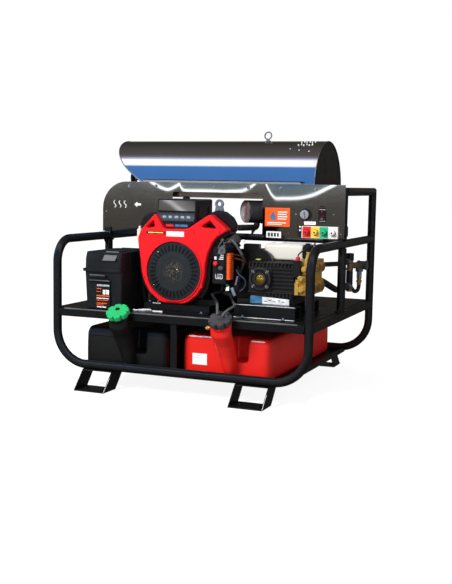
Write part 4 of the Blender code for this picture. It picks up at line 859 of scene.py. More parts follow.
def coil_hood():
    count, points = 73, []
    for i in range(count):
        a = math.pi * i / (count - 1)
        for radius in (HOOD_R, HOOD_R - 0.002):
            y, z = HOOD_Y - radius * math.cos(a), HOOD_Z + radius * math.sin(a)
            points += [(hood_left(z), y, z), (HOOD_RIGHT, y, z)]
    faces = [(0, 1, 3, 2), (4 * count - 4, 4 * count - 3, 4 * count - 1, 4 * count - 2)]
    for i in range(0, 4 * count - 4, 4):
        faces += [(i, i + 1, i + 5, i + 4), (i + 2, i + 3, i + 7, i + 6), (i, i + 2, i + 6, i + 4),
                  (i + 1, i + 3, i + 7, i + 5)]
    Shape().add(points, faces).piece("coil_hood_shell", MIRROR, stands_for=["hood"])
    hem = []
    for i in range(49):
        a = math.pi * i / 48
        r = HOOD_R - 0.001
        z = HOOD_Z + r * math.sin(a)
        hem.append(Vector((hood_left(z) + 0.001, HOOD_Y - r * math.cos(a), z)))
    Shape().pipe(hem, 0.0026, 10).piece("hood_left_hem", RIM_STEEL)
    rim = [(HOOD_RIGHT - 0.0015, y, z) for y, z in circle(HOOD_Y, HOOD_Z, HOOD_R - 0.001, 49, 180, 0)]
    Shape().pipe(rim, 0.0024, 10).piece("hood_right_hem", RIM_STEEL)
    rivets = Shape()
    for x in (-0.25, 0.436):
        for a in (33, 147):
            radial = Vector((0, -math.cos(math.radians(a)), math.sin(math.radians(a))))
            if x > hood_left(HOOD_Z + HOOD_R * radial.z) + 0.02:
                rivets.screw(Vector((x, HOOD_Y, HOOD_Z)) + radial * HOOD_R, radial, 0.0045)
    rivets.piece("hood_rivets", WHITE_STEEL)
    # Louvres and studs on the hood: the shapes are real, and their near-white colour paints the glints on
    # them.
    vents = Shape()
    for k in range(6):
        for row, a in enumerate((64, 74)):
            mid = math.radians(a + 2 * (k % 2))
            radial, along = Vector((0, -math.cos(mid), math.sin(mid))), Vector(
                (0, math.sin(mid), math.cos(mid)))
            base = Vector((0.33 + k * 0.013 + row * 0.004, HOOD_Y, HOOD_Z)) + radial * (HOOD_R - 0.001)
            ring = [base - along * 0.009, base + radial * 0.003, base + along * 0.009]
            vents.pipe(ring, [0.0012, 0.003, 0.0012], 8)
    for x, a in ((0.3, 55), (0.345, 52), (0.395, 50)):
        radial = Vector((0, -math.cos(math.radians(a)), math.sin(math.radians(a))))
        vents.turned([(0, 0), (0.003, 0), (0.0024, 0.0012), (0, 0.0016)],
                     Vector((x, HOOD_Y, HOOD_Z)) + radial * HOOD_R, radial, 12)
    vents.piece("hood_vent_louvres", WHITE_STEEL)
    strip = Shape().prism([[(-0.015, 0.9135), (0.0005, 0.9135), (0.0005, 0.9265), (-0.001, 0.9265),
                            (-0.001, 0.915), (-0.015, 0.915)]], "X", -0.4, 0.385)
    strip.plate([fillet([(-0.405, 0.914), (0.399, 0.914), (0.385, 0.9265), (-0.405, 0.9265)], 0.003)], "Y",
                -0.0345, -0.0325, 0.0006)
    strip.piece("hood_front_strip", STRIP)
    seam = Shape().plate([rectangle(-0.4, 0.9262, 0.4, 0.9302, 0.0015)], "Y", -0.0335, -0.029, 0.0006)
    seam.piece("hood_front_seam", BLACK)
    low = (-0.396, HOOD_Y - HOOD_R + 0.001, 0.848)
    high = (HOOD_RIGHT, HOOD_Y + HOOD_R - 0.001, HOOD_Z - GAP)
    rings = []
    for inset, level in ((0, low[2]), (0, high[2]), (0.0025, high[2]), (0.0025, low[2] + 0.0025)):
        rings.append(box_ring(low[0] + inset, low[1] + inset, high[0] - inset, high[1] - inset, level,
                              0.006 - inset))
    Shape().loft(rings).piece("hood_pan_tray", PAN_REFLECTION_TINT, stands_for=["hood_pan"])
    arc = circle(HOOD_Y, HOOD_Z, HOOD_R - 0.0032, 49, 0, 180) + [(HOOD_Y - 0.216, 0.852),
        (HOOD_Y + 0.216, 0.852)]
    Shape().plate([arc], "X", HOOD_RIGHT - 0.012, HOOD_RIGHT - 0.0022, 0.0015).piece("hood_end_plate", SHROUD)
    end = Shape()
    for y, z in circle(HOOD_Y, HOOD_Z, 0.205, 7, 15, 165):
        end.screw((HOOD_RIGHT - 0.0022, y, z), RIGHT, 0.004)
    end.piece("hood_end_screws", BLACK_PAINT)
    eye = Shape()
    ring = [(0.145 + 0.017 * math.cos(a), 0.2 + 0.004 * math.sin(a), 1.1465 + 0.017 * math.sin(a)) for a in [
            math.radians(-60 + 330 * i / 30) for i in range(31)]]
    path = [(0.145, 0.2, 1.121), (0.1475, 0.2, 1.127), (0.1535, 0.1985, 1.1318)] + ring[1:]
    eye.pipe(path, 0.0033, 12)
    eye.turned([(0, 0), (0.013, 0), (0.013, 0.0022), (0.0105, 0.0032), (0.0075, 0.0036), (0.0075, 0.0075),
                (0, 0.0075)], (0.145, 0.2, 1.1202), UP, 24)
    eye.piece("hood_lifting_eye", EYE_STEEL, stands_for=["eye_bolt"])


def coil_and_burner():
    turns, steps, path = 12, 30, []
    for i in range(turns * steps + 1):
        a = TAU * i / steps
        path.append((-0.345 + 0.73 * i / (turns * steps), HOOD_Y + 0.085 * math.cos(a),
                     0.975 + 0.085 * math.sin(a)))
    Shape().pipe(path, 0.012, 12).piece("water_coil", COIL_STEEL, stands_for=["heating_coil"])
    burner = Shape().turned([(0, 0), (0.043, 0), (0.045, 0.002), (0.045, 0.034), (0.052, 0.037),
                             (0.077, 0.04), (0.08, 0.043), (0.08, 0.112), (0.077, 0.115), (0, 0.115)],
                         (-0.568, 0.205, 0.812), RIGHT, 48)
    burner.rod((-0.47, 0.205, 0.874), (-0.3964, 0.205, 0.874), 0.023, 32)
    burner.block((-0.545, 0.165, 0.885), (-0.48, 0.245, 0.915))
    burner.piece("burner_blower", BLACK, stands_for=["burner"], bevel=0.0008)
    trim = Shape()
    for y, z in circle(0.205, 0.812, 0.068, 6):
        trim.bolt((-0.528, y, z), -RIGHT, 0.004)
    trim.rod((-0.402, 0.205, 0.874), (-0.3975, 0.205, 0.874), 0.034, 32)
    trim.piece("burner_fasteners", ZINC)
    hose = Shape()
    hose.pipe(flowing([(-0.52, 0.15, 0.9), (-0.538, 0.12, 0.925), (-0.525, 0.1, 0.955), (-0.49, 0.105, 0.965),
                       (-0.445, 0.14, 0.962), (-0.375, 0.24, 0.945)]), 0.01, 14)
    hose.pipe(flowing([(-0.5, 0.12, 0.89), (-0.505, 0.085, 0.915), (-0.48, 0.07, 0.935),
                       (-0.44, 0.085, 0.925), (-0.405, 0.12, 0.905)]), 0.006, 12)
    hose.piece("coil_inlet_hoses", RUBBER)
    fittings = Shape()
    fittings.rod((-0.536, 0.118, 0.918), (-0.53, 0.105, 0.944), 0.0125, 6)
    fittings.rod((-0.462, 0.125, 0.964), (-0.44, 0.143, 0.961), 0.0125, 6)
    fittings.rod((-0.448, 0.082, 0.928), (-0.43, 0.092, 0.92), 0.0085, 6)
    fittings.piece("coil_inlet_fittings", ZINC)


# ---- Engine ----

ENGINE_X, ENGINE_Z = -0.062, 0.532
FAN_FRONT, FAN_BACK, FAN_HOLE_R = -0.405, -0.345, 0.129
# Across and up, round the cover from its left ear and over the top.
FAN_OUTLINE = (
    (-0.24, 0.672), (-0.222, 0.712), (-0.16, 0.777), (-0.15, 0.777), (-0.112, 0.715), (-0.001, 0.718),
    (0.098, 0.781), (0.108, 0.781), (0.184, 0.722), (0.18, 0.712), (0.138, 0.687), (0.118, 0.662),
    (0.096, 0.614), (0.086, 0.562), (0.083, 0.515), (0.073, 0.47), (0.048, 0.43), (0.004, 0.397),
    (-0.02, 0.3905), (-0.11, 0.3905), (-0.132, 0.397), (-0.178, 0.432), (-0.204, 0.475), (-0.219, 0.52),
    (-0.226, 0.58), (-0.236, 0.645),
)


def fan_housing():
    radii = [0.01, 0.02, 0.005, 0.005, 0.02, 0.04, 0.006, 0.006, 0.004, 0.004, 0.03, 0.03] + [0.03] * 14
    outline = fillet(list(FAN_OUTLINE), radii)
    windows = [fillet([(0.062, 0.728), (0.138, 0.722), (0.106, 0.756)], 0.004, 4),
               fillet([(-0.203, 0.714), (-0.157, 0.724), (-0.162, 0.752)], 0.004, 4)]
    hole = circle(ENGINE_X, ENGINE_Z, FAN_HOLE_R, 72)
    cover = Shape().plate([outline, hole] + windows, "Y", FAN_FRONT + 0.003, FAN_BACK, 0.007, 4)
    cover.piece("fan_cover_shell", RED, stands_for=["fan_cover"], angle=50)
    lip = Shape().turned([(0.1288, 0.0), (0.1288, 0.004), (0.1298, 0.0055), (0.1316, 0.006), (0.134, 0.005),
                          (0.136, 0.0)], (ENGINE_X, FAN_FRONT + 0.004, ENGINE_Z), FRONT, 72)
    lip.piece("fan_cover_ring", RED)
    recess = Shape()
    for loop in windows:
        recess.prism([loop], "Y", FAN_BACK - 0.012, FAN_BACK - 0.01)
    recess.piece("fan_cover_recesses", SHROUD)
    guard = Shape().turned([(0, 0.0088), (0.06, 0.0084), (0.096, 0.0068), (0.112, 0.0046), (0.123, 0.003),
                            (0.127, 0.003), (0.1278, 0.0)], (ENGINE_X, FAN_FRONT + 0.008, ENGINE_Z), FRONT,
                        96)
    mid = Vector((ENGINE_X, FAN_FRONT + 0.008, ENGINE_Z))
    for i in range(72):
        a = TAU * i / 72
        out = Vector((math.cos(a), 0, math.sin(a)))
        guard.pipe([mid + out * 0.092 + FRONT * 0.0072, mid + out * 0.108 + FRONT * 0.006,
                    mid + out * 0.1225 + FRONT * 0.0038], 0.0019, 6)
    for radius, rise in ((0.03, 0.0088), (0.06, 0.0086), (0.09, 0.0074)):
        guard.turned([(radius - 0.0008, rise - 0.002), (radius - 0.0008, rise + 0.0006),
                      (radius + 0.0008, rise + 0.0006), (radius + 0.0008, rise - 0.002)], mid, FRONT, 96)
    guard.piece("fan_grille", MESH, stands_for=["fan_guard"])
    bolts = Shape()
    for a in (40, 140, 220, 320):
        t = math.radians(a)
        bolts.bolt((ENGINE_X + 0.118 * math.cos(t), FAN_FRONT + 0.0045, ENGINE_Z + 0.118 * math.sin(t)),
                   FRONT, 0.0038, washer=False)
    bolts.piece("fan_grille_bolts", CAST)
    heads = Shape()
    for a, radius in ((133, 0.112), (214, 0.114), (320, 0.098), (26, 0.02)):
        t = math.radians(a)
        heads.screw((ENGINE_X + radius * math.cos(t), FAN_FRONT + (0.0045 if radius > 0.05 else -0.0012),
                     ENGINE_Z + radius * math.sin(t)), FRONT, 0.0026)
    heads.piece("fan_grille_screws", WHITE_STEEL)
    corner = Shape()
    for x, z in ((-0.222, 0.69), (0.15, 0.712), (-0.205, 0.5), (0.07, 0.47), (0.03, 0.706)):
        corner.bolt((x, FAN_FRONT + 0.0032, z), FRONT, 0.004)
    corner.piece("fan_cover_bolts", RED)
    strip = Shape().plate([rectangle(-0.196, 0.6925, -0.105, 0.703, 0.001)], "Y", FAN_FRONT + 0.002,
                          FAN_FRONT + 0.0032, 0.0003)
    strip.piece("cover_tag_dark", BLACK)
    Shape().plate([rectangle(-0.188, 0.6955, -0.113, 0.7, 0.001)], "Y", FAN_FRONT + 0.0014,
                  FAN_FRONT + 0.0022, 0.0003).piece("cover_tag_bar", YELLOW)
    Shape().plate([rectangle(-0.098, 0.6835, -0.014, 0.7055, 0.002)], "Y", FAN_FRONT + 0.0018,
                  FAN_FRONT + 0.0032, 0.0003).piece("cover_tag_white", WHITE)


def grille_specks_and_painted_shade(n, place):
    """Dark grille: painted shade in the slots round its rim, and brown specks of the mesh near its middle."""
    spots = n.add("ShaderNodeTexVoronoi", {"Vector": place, "Scale": 130.0}).outputs["Distance"]
    x, _, z = parts_of(n, place)
    dx, dz = n.maths("SUBTRACT", x, ENGINE_X), n.maths("SUBTRACT", z, ENGINE_Z)
    reach = n.maths("SQRT", n.maths("ADD", n.maths("POWER", dx, 2.0), n.maths("POWER", dz, 2.0)))
    near = n.spread(reach, 1.0, 0.0, 0.02, 0.055)
    dots = n.maths("MULTIPLY", near, n.spread(spots, 1.0, 0.0, 0.2, 0.42))
    # Painted shade: the slots round the rim are darkened.
    comb = n.spread(n.maths("SINE", n.maths("MULTIPLY", n.maths("ARCTAN2", dz, dx), 36.0)), 0.0, 1.0, -0.2,
                    0.4)
    slot_shade_ring = n.maths("MULTIPLY", n.spread(reach, 0.0, 1.0, 0.083, 0.088), n.spread(reach, 1.0, 0.0, 0.112,
            0.117))
    plain = n.mix(n.maths("MULTIPLY", comb, slot_shade_ring), (0.016, 0.019, 0.021), (0.0035, 0.004, 0.005))
    return n.mix(dots, plain, (0.16, 0.12, 0.06))


MESH = finish("black_plastic", None, 0.48, mottle=(15, 0.15), grain=(420, 0.0006), paint=grille_specks_and_painted_shade)


def engine_body():
    half = [(0.105, -0.1215), (0.125, -0.065), (0.125, 0.0376), (0.0326, 0.13)]
    outline = [(ENGINE_X + u, ENGINE_Z + v) for u, v in half] + [(ENGINE_X - u, ENGINE_Z + v) for u,
        v in reversed(half)]
    block = Shape().plate([fillet(outline, 0.012), circle(ENGINE_X, ENGINE_Z, 0.0183, 24)], "Y", -0.3415,
                          -0.065, 0.006)
    for k in range(6):
        z = ENGINE_Z - 0.05 + k * 0.016
        for x in (ENGINE_X + 0.124, ENGINE_X - 0.13):
            block.prism([rectangle(x, z, x + 0.006, z + 0.005)], "Y", -0.3, -0.1)
    block.turned([(0.022, 0), (0.058, 0), (0.06, 0.002), (0.06, 0.01), (0.055, 0.014), (0.022, 0.014)],
                 (ENGINE_X, -0.067, ENGINE_Z), -FRONT, 48)
    block.piece("engine_crankcase", CAST, stands_for=["engine_block"])
    bolts = Shape()
    for x, z in circle(ENGINE_X, ENGINE_Z, 0.088, 8, 22.5, 382.5):
        bolts.bolt((x, -0.065, z), -FRONT, 0.006)
    for x in (ENGINE_X - 0.095, ENGINE_X + 0.095):
        for y in (-0.3, -0.12):
            bolts.bolt((x, y, 0.4108), UP, 0.007)
    bolts.piece("crankcase_bolts", ZINC)
    turn = math.sqrt(0.5)
    for name, side in (("left", -1), ("right", 1)):
        def place(a, b, side=side):
            return (ENGINE_X + side * (a - b) * turn, ENGINE_Z + (a + b) * turn)

        fins = Shape()
        core = [place(a, b) for a, b in ((0.116, 0.05), (0.205, 0.05), (0.205, -0.05), (0.116, -0.05))]
        fins.plate([core], "Y", -0.29, -0.112, 0.003)
        for n in range(9):
            a = 0.121 + n * 0.0088
            loop = [place(u, v) for u, v in ((a, 0.064), (a + 0.0022, 0.064), (a + 0.0022, -0.064),
                    (a, -0.064))]
            fins.plate([loop], "Y", -0.305, -0.1, 0.0008, 1)
        fins.piece(f"cylinder_fins_{name}", CAST, stands_for=[f"cylinder_{name}"])
        head = Shape()
        loop = [place(u, v) for u, v in ((0.2, 0.056), (0.228, 0.053), (0.238, 0.04), (0.238, -0.04),
                                         (0.228, -0.053), (0.2, -0.056))]
        head.plate([fillet(loop, 0.006)], "Y", -0.3, -0.104, 0.006)
        head.piece(f"cylinder_head_{name}", ALLOY)
        cap = Shape()
        loop = [place(u, v) for u, v in ((0.198, 0.066), (0.214, 0.066), (0.214, -0.066), (0.198, -0.066))]
        cap.plate([fillet(loop, 0.003)], "Y", -0.302, -0.102, 0.002)
        for dy in (-0.285, -0.12):
            for b in (-0.045, 0.045):
                u, v = place(0.238, b)
                cap.bolt((u, dy, v), (side, 0, 1), 0.0048)
        cap.piece(f"cylinder_head_plate_{name}", CAST)
        plug = Shape()
        u, v = place(0.222, -0.02)
        plug.pipe(flowing([(u, -0.3, v), (u + side * 0.002, -0.318, v + 0.002), (u - side * 0.004, -0.332,
                        v - 0.01), (u - side * 0.02, -0.336, v - 0.035),
                    (u - side * 0.04, -0.338, v - 0.07)]), [0.01] * 8 + [0.0045] * 25, 12)
        plug.piece(f"spark_lead_{name}", RUBBER)


def engine_shrouds():
    outer = [(0.19, 0.716), (0.192, 0.7), (0.15, 0.672), (0.128, 0.64), (0.112, 0.6), (0.103, 0.555),
             (0.1, 0.5), (0.09, 0.452), (0.066, 0.4165), (0.04, 0.4125)]
    inner = [(0.035, 0.43), (0.062, 0.47), (0.072, 0.515), (0.076, 0.562), (0.085, 0.614), (0.105, 0.662),
             (0.125, 0.687), (0.165, 0.712)]
    scroll = Shape().plate([fillet(outer + inner, 0.012)], "Y", -0.378, -0.318, 0.005, 3)
    scroll.piece("cooling_scroll_right", SHROUD, angle=50)
    outer = [(-0.246, 0.69), (-0.25, 0.65), (-0.244, 0.585), (-0.24, 0.52), (-0.228, 0.47), (-0.2, 0.43),
             (-0.165, 0.4125)]
    inner = [(-0.15, 0.43), (-0.19, 0.47), (-0.205, 0.52), (-0.212, 0.58), (-0.222, 0.645), (-0.222, 0.69)]
    scroll = Shape().plate([fillet(outer + inner, 0.01)], "Y", -0.376, -0.318, 0.005, 3)
    scroll.piece("cooling_scroll_left", SHROUD, angle=50)
    dome = Shape()
    loop = [(0.03, 0.7), (0.045, 0.75), (0.075, 0.788), (0.11, 0.8), (0.15, 0.795), (0.185, 0.77),
            (0.205, 0.735), (0.2, 0.71), (0.16, 0.69), (0.1, 0.68)]
    dome.plate([fillet(loop, 0.025)], "Y", -0.34, -0.306, 0.012, 5)
    dome.piece("head_shroud_right", SHROUD, angle=50)
    dome = Shape()
    loop = [(-0.25, 0.69), (-0.262, 0.73), (-0.245, 0.765), (-0.205, 0.785), (-0.165, 0.78), (-0.15, 0.74),
            (-0.165, 0.7), (-0.21, 0.68)]
    dome.plate([fillet(loop, 0.02)], "Y", -0.34, -0.306, 0.012, 5)
    dome.piece("head_shroud_left", SHROUD, angle=50)
    eye = Shape()
    loop = circle(0.096, 0.826, 0.0205, 20, -35, 215) + [(0.074, 0.79), (0.12, 0.79)]
    eye.plate([loop, circle(0.096, 0.826, 0.0095, 24)], "Y", -0.278, -0.268, 0.002)
    eye.piece("engine_lifting_eye", BLUED_STEEL)
    inner = Shape().turned([(0.0095, -0.004), (0.0135, -0.005), (0.015, 0.0), (0.0135, 0.005),
                            (0.0095, 0.004)], (0.096, -0.273, 0.826), FRONT, 32)
    inner.piece("engine_lifting_eye_lip", ALLOY)


def air_filter():
    body = [(-0.104, 0.7205), (-0.008, 0.7205), (0.028, 0.742), (0.028, 0.841), (0.022, 0.845),
            (-0.153, 0.845), (-0.159, 0.839), (-0.159, 0.79), (-0.137, 0.78)]
    Shape().plate([fillet(body, 0.006)], "Y", -0.369, -0.19, 0.006, 3).piece("air_filter_body", SHROUD,
        stands_for=["air_cleaner"], angle=50)
    y = -0.369
    Shape().plate([fillet([(-0.154, 0.7935), (0.023, 0.7935), (0.023, 0.839), (-0.15, 0.839)], 0.004)], "Y",
                  y - 0.0035, y + 0.001, 0.0016, 3).piece("air_filter_insert", GREY_TOP)
    Shape().plate([fillet([(-0.154, 0.748), (0.019, 0.748), (0.025, 0.786), (-0.156, 0.786)], 0.003)], "Y",
                  y - 0.006, y + 0.001, 0.0016, 3).piece("air_filter_badge", BADGE)
    Shape().plate([fillet([(-0.115, 0.715), (-0.012, 0.715), (0.012, 0.744), (-0.143, 0.744)], 0.004)], "Y",
                  y - 0.0055, y + 0.001, 0.0016, 3).piece("air_filter_foot", BLACK)
    bars = Shape()
    for k in range(5):
        bars.block((-0.13 + k * 0.029, y - 0.0068, 0.762), (-0.114 + k * 0.029, y - 0.0058, 0.772))
    bars.piece("air_filter_badge_blocks", DIM_BLOCKS)
    Shape().block((-0.115, y - 0.0062, 0.7245), (-0.078, y - 0.0053, 0.735)).piece("air_filter_foot_mark_red",
        RED_SMALL)
    Shape().block((-0.07, y - 0.0062, 0.7245), (-0.01, y - 0.0053, 0.735)).piece("air_filter_foot_mark_grey",
        BLUE)
    clips = Shape()
    for y0 in (-0.33, -0.23):
        clips.plate([rectangle(y0 - 0.01, 0.76, y0 + 0.01, 0.812, 0.003)], "X", 0.0275, 0.0315, 0.001)
    clips.piece("air_filter_clips", CAST)
    knob = Shape().turned([(0, 0), (0.016, 0), (0.016, 0.008), (0.012, 0.012), (0, 0.012)],
                          (-0.065, -0.27, 0.845), UP, 8)
    knob.piece("air_filter_knob", BLACK)
    duct = Shape()
    duct.block((-0.115, -0.29, 0.655), (-0.01, -0.15, 0.7215))
    duct.rod((-0.095, -0.22, 0.69), (-0.145, -0.22, 0.672), 0.022, 24)
    duct.rod((-0.03, -0.22, 0.69), (0.022, -0.22, 0.672), 0.022, 24)
    duct.rod((-0.062, -0.15, 0.69), (-0.062, -0.105, 0.69), 0.026, 24)
    duct.piece("carburettor", ALLOY, bevel=0.004)


def engine_controls():
    box = Shape().plate([rectangle(0.114, 0.485, 0.176, 0.645, 0.006)], "Y", -0.385, -0.3065, 0.004, 3)
    box.piece("engine_control_housing", BLACK, stands_for=["control_box"])
    y = -0.385
    face = Shape().plate([fillet([(0.119, 0.495), (0.171, 0.495), (0.171, 0.64), (0.119, 0.64)], 0.005),
                          rectangle(0.128, 0.504, 0.166, 0.532, 0.004)], "Y", y - 0.0022, y + 0.001, 0.0008)
    face.piece("engine_control_face", GRAIN)
    Shape().turned([(0.0108, 0), (0.015, 0), (0.015, 0.0038), (0.014, 0.0045), (0.0108, 0.0045)],
                   (0.155, y - 0.002, 0.556), FRONT, 32).piece("key_switch_bezel", SHROUD)
    key = Shape().turned([(0, 0.0004), (0.01, 0.0004), (0.01, 0.006), (0.0092, 0.007), (0, 0.0072)],
                         (0.155, y, 0.556), FRONT, 32)
    bow = rectangle(0.556 - 0.0085, y - 0.026, 0.556 + 0.0085, y - 0.0085, 0.005)
    blade = Shape().plate([[(v, u) for u, v in bow], circle(y - 0.02, 0.556, 0.0028, 14)], "X",
                          0.155 - 0.0012, 0.155 + 0.0012, 0.0004)
    key.join(blade)
    key.piece("starter_key", ZINC, "ignition", ["ignition_key"])
    knob = Shape().turned([(0, 0.0004), (0.004, 0.0004), (0.004, 0.006), (0.0088, 0.0078), (0.0102, 0.01),
                           (0.0102, 0.015), (0.0085, 0.0176), (0.004, 0.0184), (0, 0.0184)],
                       (0.1335, y, 0.575), FRONT, 32)
    knob.piece("choke_pull", RED_SMALL, "choke", ["choke_knob"])
    lever = Shape()
    lever.pipe(rounded([(0.131, y - 0.003, 0.528), (0.131, y - 0.003, 0.509), (0.163, y - 0.003, 0.509),
                        (0.163, y - 0.003, 0.528), (0.14, y - 0.003, 0.528)], (0.004, 0.004, 0.004), 5),
                0.0014, 8)
    for z in (0.515, 0.521):
        lever.rod((0.137, y - 0.0025, z), (0.157, y - 0.0025, z), 0.0011, 8)
    lever.piece("throttle_slot", PALE)
    icons = Shape()
    for k in range(3):
        icons.block((0.145 + 0.004 * k, y - 0.003, 0.592 + 0.0085 * k),
                    (0.166, y - 0.0021, 0.5955 + 0.0085 * k))
    icons.block((0.124, y - 0.003, 0.592), (0.134, y - 0.0021, 0.604))
    icons.piece("engine_control_icons", WHITE)
    fins = Shape()
    for k in range(14):
        fins.block((0.185, -0.376, 0.506 + k * 0.0081), (0.1935, -0.338, 0.5112 + k * 0.0081))
    fins.block((0.1758, -0.378, 0.505), (0.188, -0.336, 0.619))
    fins.piece("rectifier_fins", ORANGE, bevel=0.0006)
    links = Shape()
    links.plate([fillet([(0.139, 0.617), (0.16, 0.612), (0.176, 0.62), (0.172, 0.658), (0.158, 0.652),
                         (0.146, 0.64)], 0.003)], "Y", -0.3915, -0.3885, 0.001)
    links.pipe([(0.142, -0.392, 0.64), (0.152, -0.392, 0.66), (0.161, -0.388, 0.676)], 0.003, 8)
    links.pipe([(0.172, -0.388, 0.64), (0.166, -0.388, 0.668)], 0.0025, 8)
    links.bolt((0.157, -0.3915, 0.634), FRONT, 0.0055)
    links.bolt((0.17, -0.3915, 0.65), FRONT, 0.0045)
    links.turned([(0, -0.0075), (0.006, -0.0045), (0.0075, 0), (0.006, 0.0045), (0, 0.0075)],
                 (0.161, -0.388, 0.676), FRONT, 20)
    links.piece("governor_linkage", LINK)
    hose = Shape()
    hose.pipe(flowing([(0.16, -0.352, 0.668), (0.174, -0.36, 0.68), (0.196, -0.36, 0.673),
                       (0.215, -0.36, 0.652), (0.228, -0.355, 0.63), (0.235, -0.345, 0.613)]), 0.0052, 12)
    hose.piece("breather_hose", GREY_RUBBER)
    dot = Shape().turned([(0, 0), (0.0062, 0), (0.0062, 0.004), (0.0045, 0.006), (0, 0.0065)],
                         (0.241, -0.345, 0.673), FRONT, 20)
    dot.piece("breather_hose_clip", WHITE)
    wires = Shape()
    wires.pipe(flowing([(0.18, -0.35, 0.598), (0.208, -0.355, 0.597), (0.236, -0.352, 0.59),
                        (0.245, -0.346, 0.578), (0.236, -0.342, 0.558)]), 0.0032, 8)
    wires.pipe(flowing([(0.18, -0.34, 0.61), (0.21, -0.345, 0.612), (0.24, -0.34, 0.6),
                        (0.25, -0.332, 0.572)]), 0.0026, 8)
    wires.piece("engine_wiring", WIRE)
    blues = Shape()
    blues.pipe(flowing([(0.206, -0.34, 0.548), (0.223, -0.345, 0.527), (0.244, -0.345, 0.512),
                        (0.252, -0.342, 0.494), (0.244, -0.34, 0.47), (0.225, -0.34, 0.454)]), 0.0034, 8)
    blues.piece("engine_earth_leads", BLUE_RUBBER)
    loom = Shape()
    loom.pipe(flowing([(0.17, -0.315, 0.66), (0.2, -0.305, 0.64), (0.222, -0.3, 0.59), (0.214, -0.31, 0.53),
                       (0.196, -0.325, 0.47), (0.18, -0.33, 0.43)]), 0.0062, 12)
    loom.pipe(flowing([(0.205, -0.32, 0.56), (0.216, -0.322, 0.52), (0.208, -0.33, 0.47),
                       (0.195, -0.335, 0.425)]), 0.0048, 12)
    loom.piece("engine_loom", RUBBER)
    low = Shape()
    low.rod((0.192, -0.35, 0.469), (0.207, -0.352, 0.435), 0.0078, 16, edge=0.001)
    low.rod((0.212, -0.335, 0.52), (0.204, -0.34, 0.48), 0.0052, 16, edge=0.001)
    low.piece("oil_drain_fittings", BLUED_FITTING)
    Shape().rod((0.16, -0.345, 0.492), (0.172, -0.35, 0.474), 0.006, 14).piece("ground_wire_lug", TEAL)
    filt = Shape()
    filt.turned([(0, 0), (0.0105, 0), (0.013, 0.004), (0.013, 0.06), (0.011, 0.065), (0.006, 0.067),
                 (0.006, 0.078), (0, 0.078)], (-0.262, -0.335, 0.643), UP, 24)
    filt.piece("oil_fill_tube", CREAM)


def end_disc_painted_reflection(n, place):
    """Painted reflection on the silencer's end: pale to the left, a reddish patch near its middle, grey to
    the right.
    """
    x, _, _ = parts_of(n, place)
    drift = n.maths("ADD", x, n.maths("MULTIPLY", n.noise(place, 34.0), 0.03))
    stops = [(0.0, (0.62, 0.64, 0.68)), (0.36, (0.5, 0.52, 0.58)), (0.47, (0.34, 0.13, 0.1)),
             (0.6, (0.3, 0.1, 0.08)), (0.74, (0.22, 0.21, 0.24)), (1.0, (0.06, 0.05, 0.06))]
    return n.ramp(n.spread(drift, 0.0, 1.0, 0.075, 0.165), stops)


# The silencer's end disc, coloured with a painted reflection.
END_DISC_REFLECTION = finish("dark_steel", None, 0.24, metal=0.4, mottle=(40, 0.2), paint=end_disc_painted_reflection)
SILENCER_Y, SILENCER_Z = 0.022, 0.788


def exhaust():
    def ring(radius, out, count=48):
        """A ring on the silencer's slanted left face, set forward of it by out."""
        points = []
        for i in range(count):
            a = TAU * i / count
            across = radius * math.cos(a)
            points.append(Vector((0.107 - 0.932 * across - 0.7315 * out, SILENCER_Y + across - 0.6818 * out,
                                  SILENCER_Z + radius * math.sin(a))))
        return points

    can = Shape()
    rings = [ring(0.0525, 0.0)]
    for x, radius in ((0.353, 0.0525), (0.355, 0.0515), (0.355, 0.04), (0.349, 0.036)):
        rings.append([Vector((x, y, z)) for y, z in circle(SILENCER_Y, SILENCER_Z, radius, 48)])
    can.loft(rings)
    for x in (0.185, 0.255, 0.325):
        can.turned([(0.052, 0), (0.054, 0.001), (0.054, 0.007), (0.052, 0.008)], (x, SILENCER_Y, SILENCER_Z),
                   RIGHT, 48)
    can.pipe(rounded([(0.165, 0.02, 0.76), (0.165, 0.012, 0.716), (0.115, -0.085, 0.716)], (0.015,), 6),
             0.014, 18)
    can.piece("silencer", DARK_STEEL, stands_for=["muffler"])
    rim = Shape().loft([ring(0.0485, 0.0), ring(0.0528, 0.0), ring(0.053, 0.0008), ring(0.052, 0.0014),
                        ring(0.0495, 0.0012), ring(0.0485, 0.0006)])
    rim.piece("silencer_end_rim", RIM_STEEL)
    disc = Shape().loft([ring(0.049, 0.0002), ring(0.049, 0.0008), ring(0.04, 0.0014), ring(0.036, 0.0024),
                         ring(0.02, 0.0028), ring(0.002, 0.003)])
    disc.piece("silencer_end_disc", END_DISC_REFLECTION)
    hanger = Shape()
    for x in (0.16, 0.3):
        hanger.plate(
            [fillet([(-0.038, 0.688), (-SILENCER_Y, 0.688), (0.06, 0.728), (0.06, 0.742), (0.04, 0.742),
                     (-0.038, 0.7)], 0.004)], "X", x - 0.002, x + 0.002, 0.0008)
    hanger.piece("silencer_hangers", DARK_STEEL)
    stub = Shape().pipe(rounded([(0.33, 0.055, 0.8), (0.33, 0.11, 0.8), (0.33, 0.11, 0.72)], (0.03,), 8),
                        0.016, 18)
    stub.piece("silencer_outlet", DARK_STEEL)


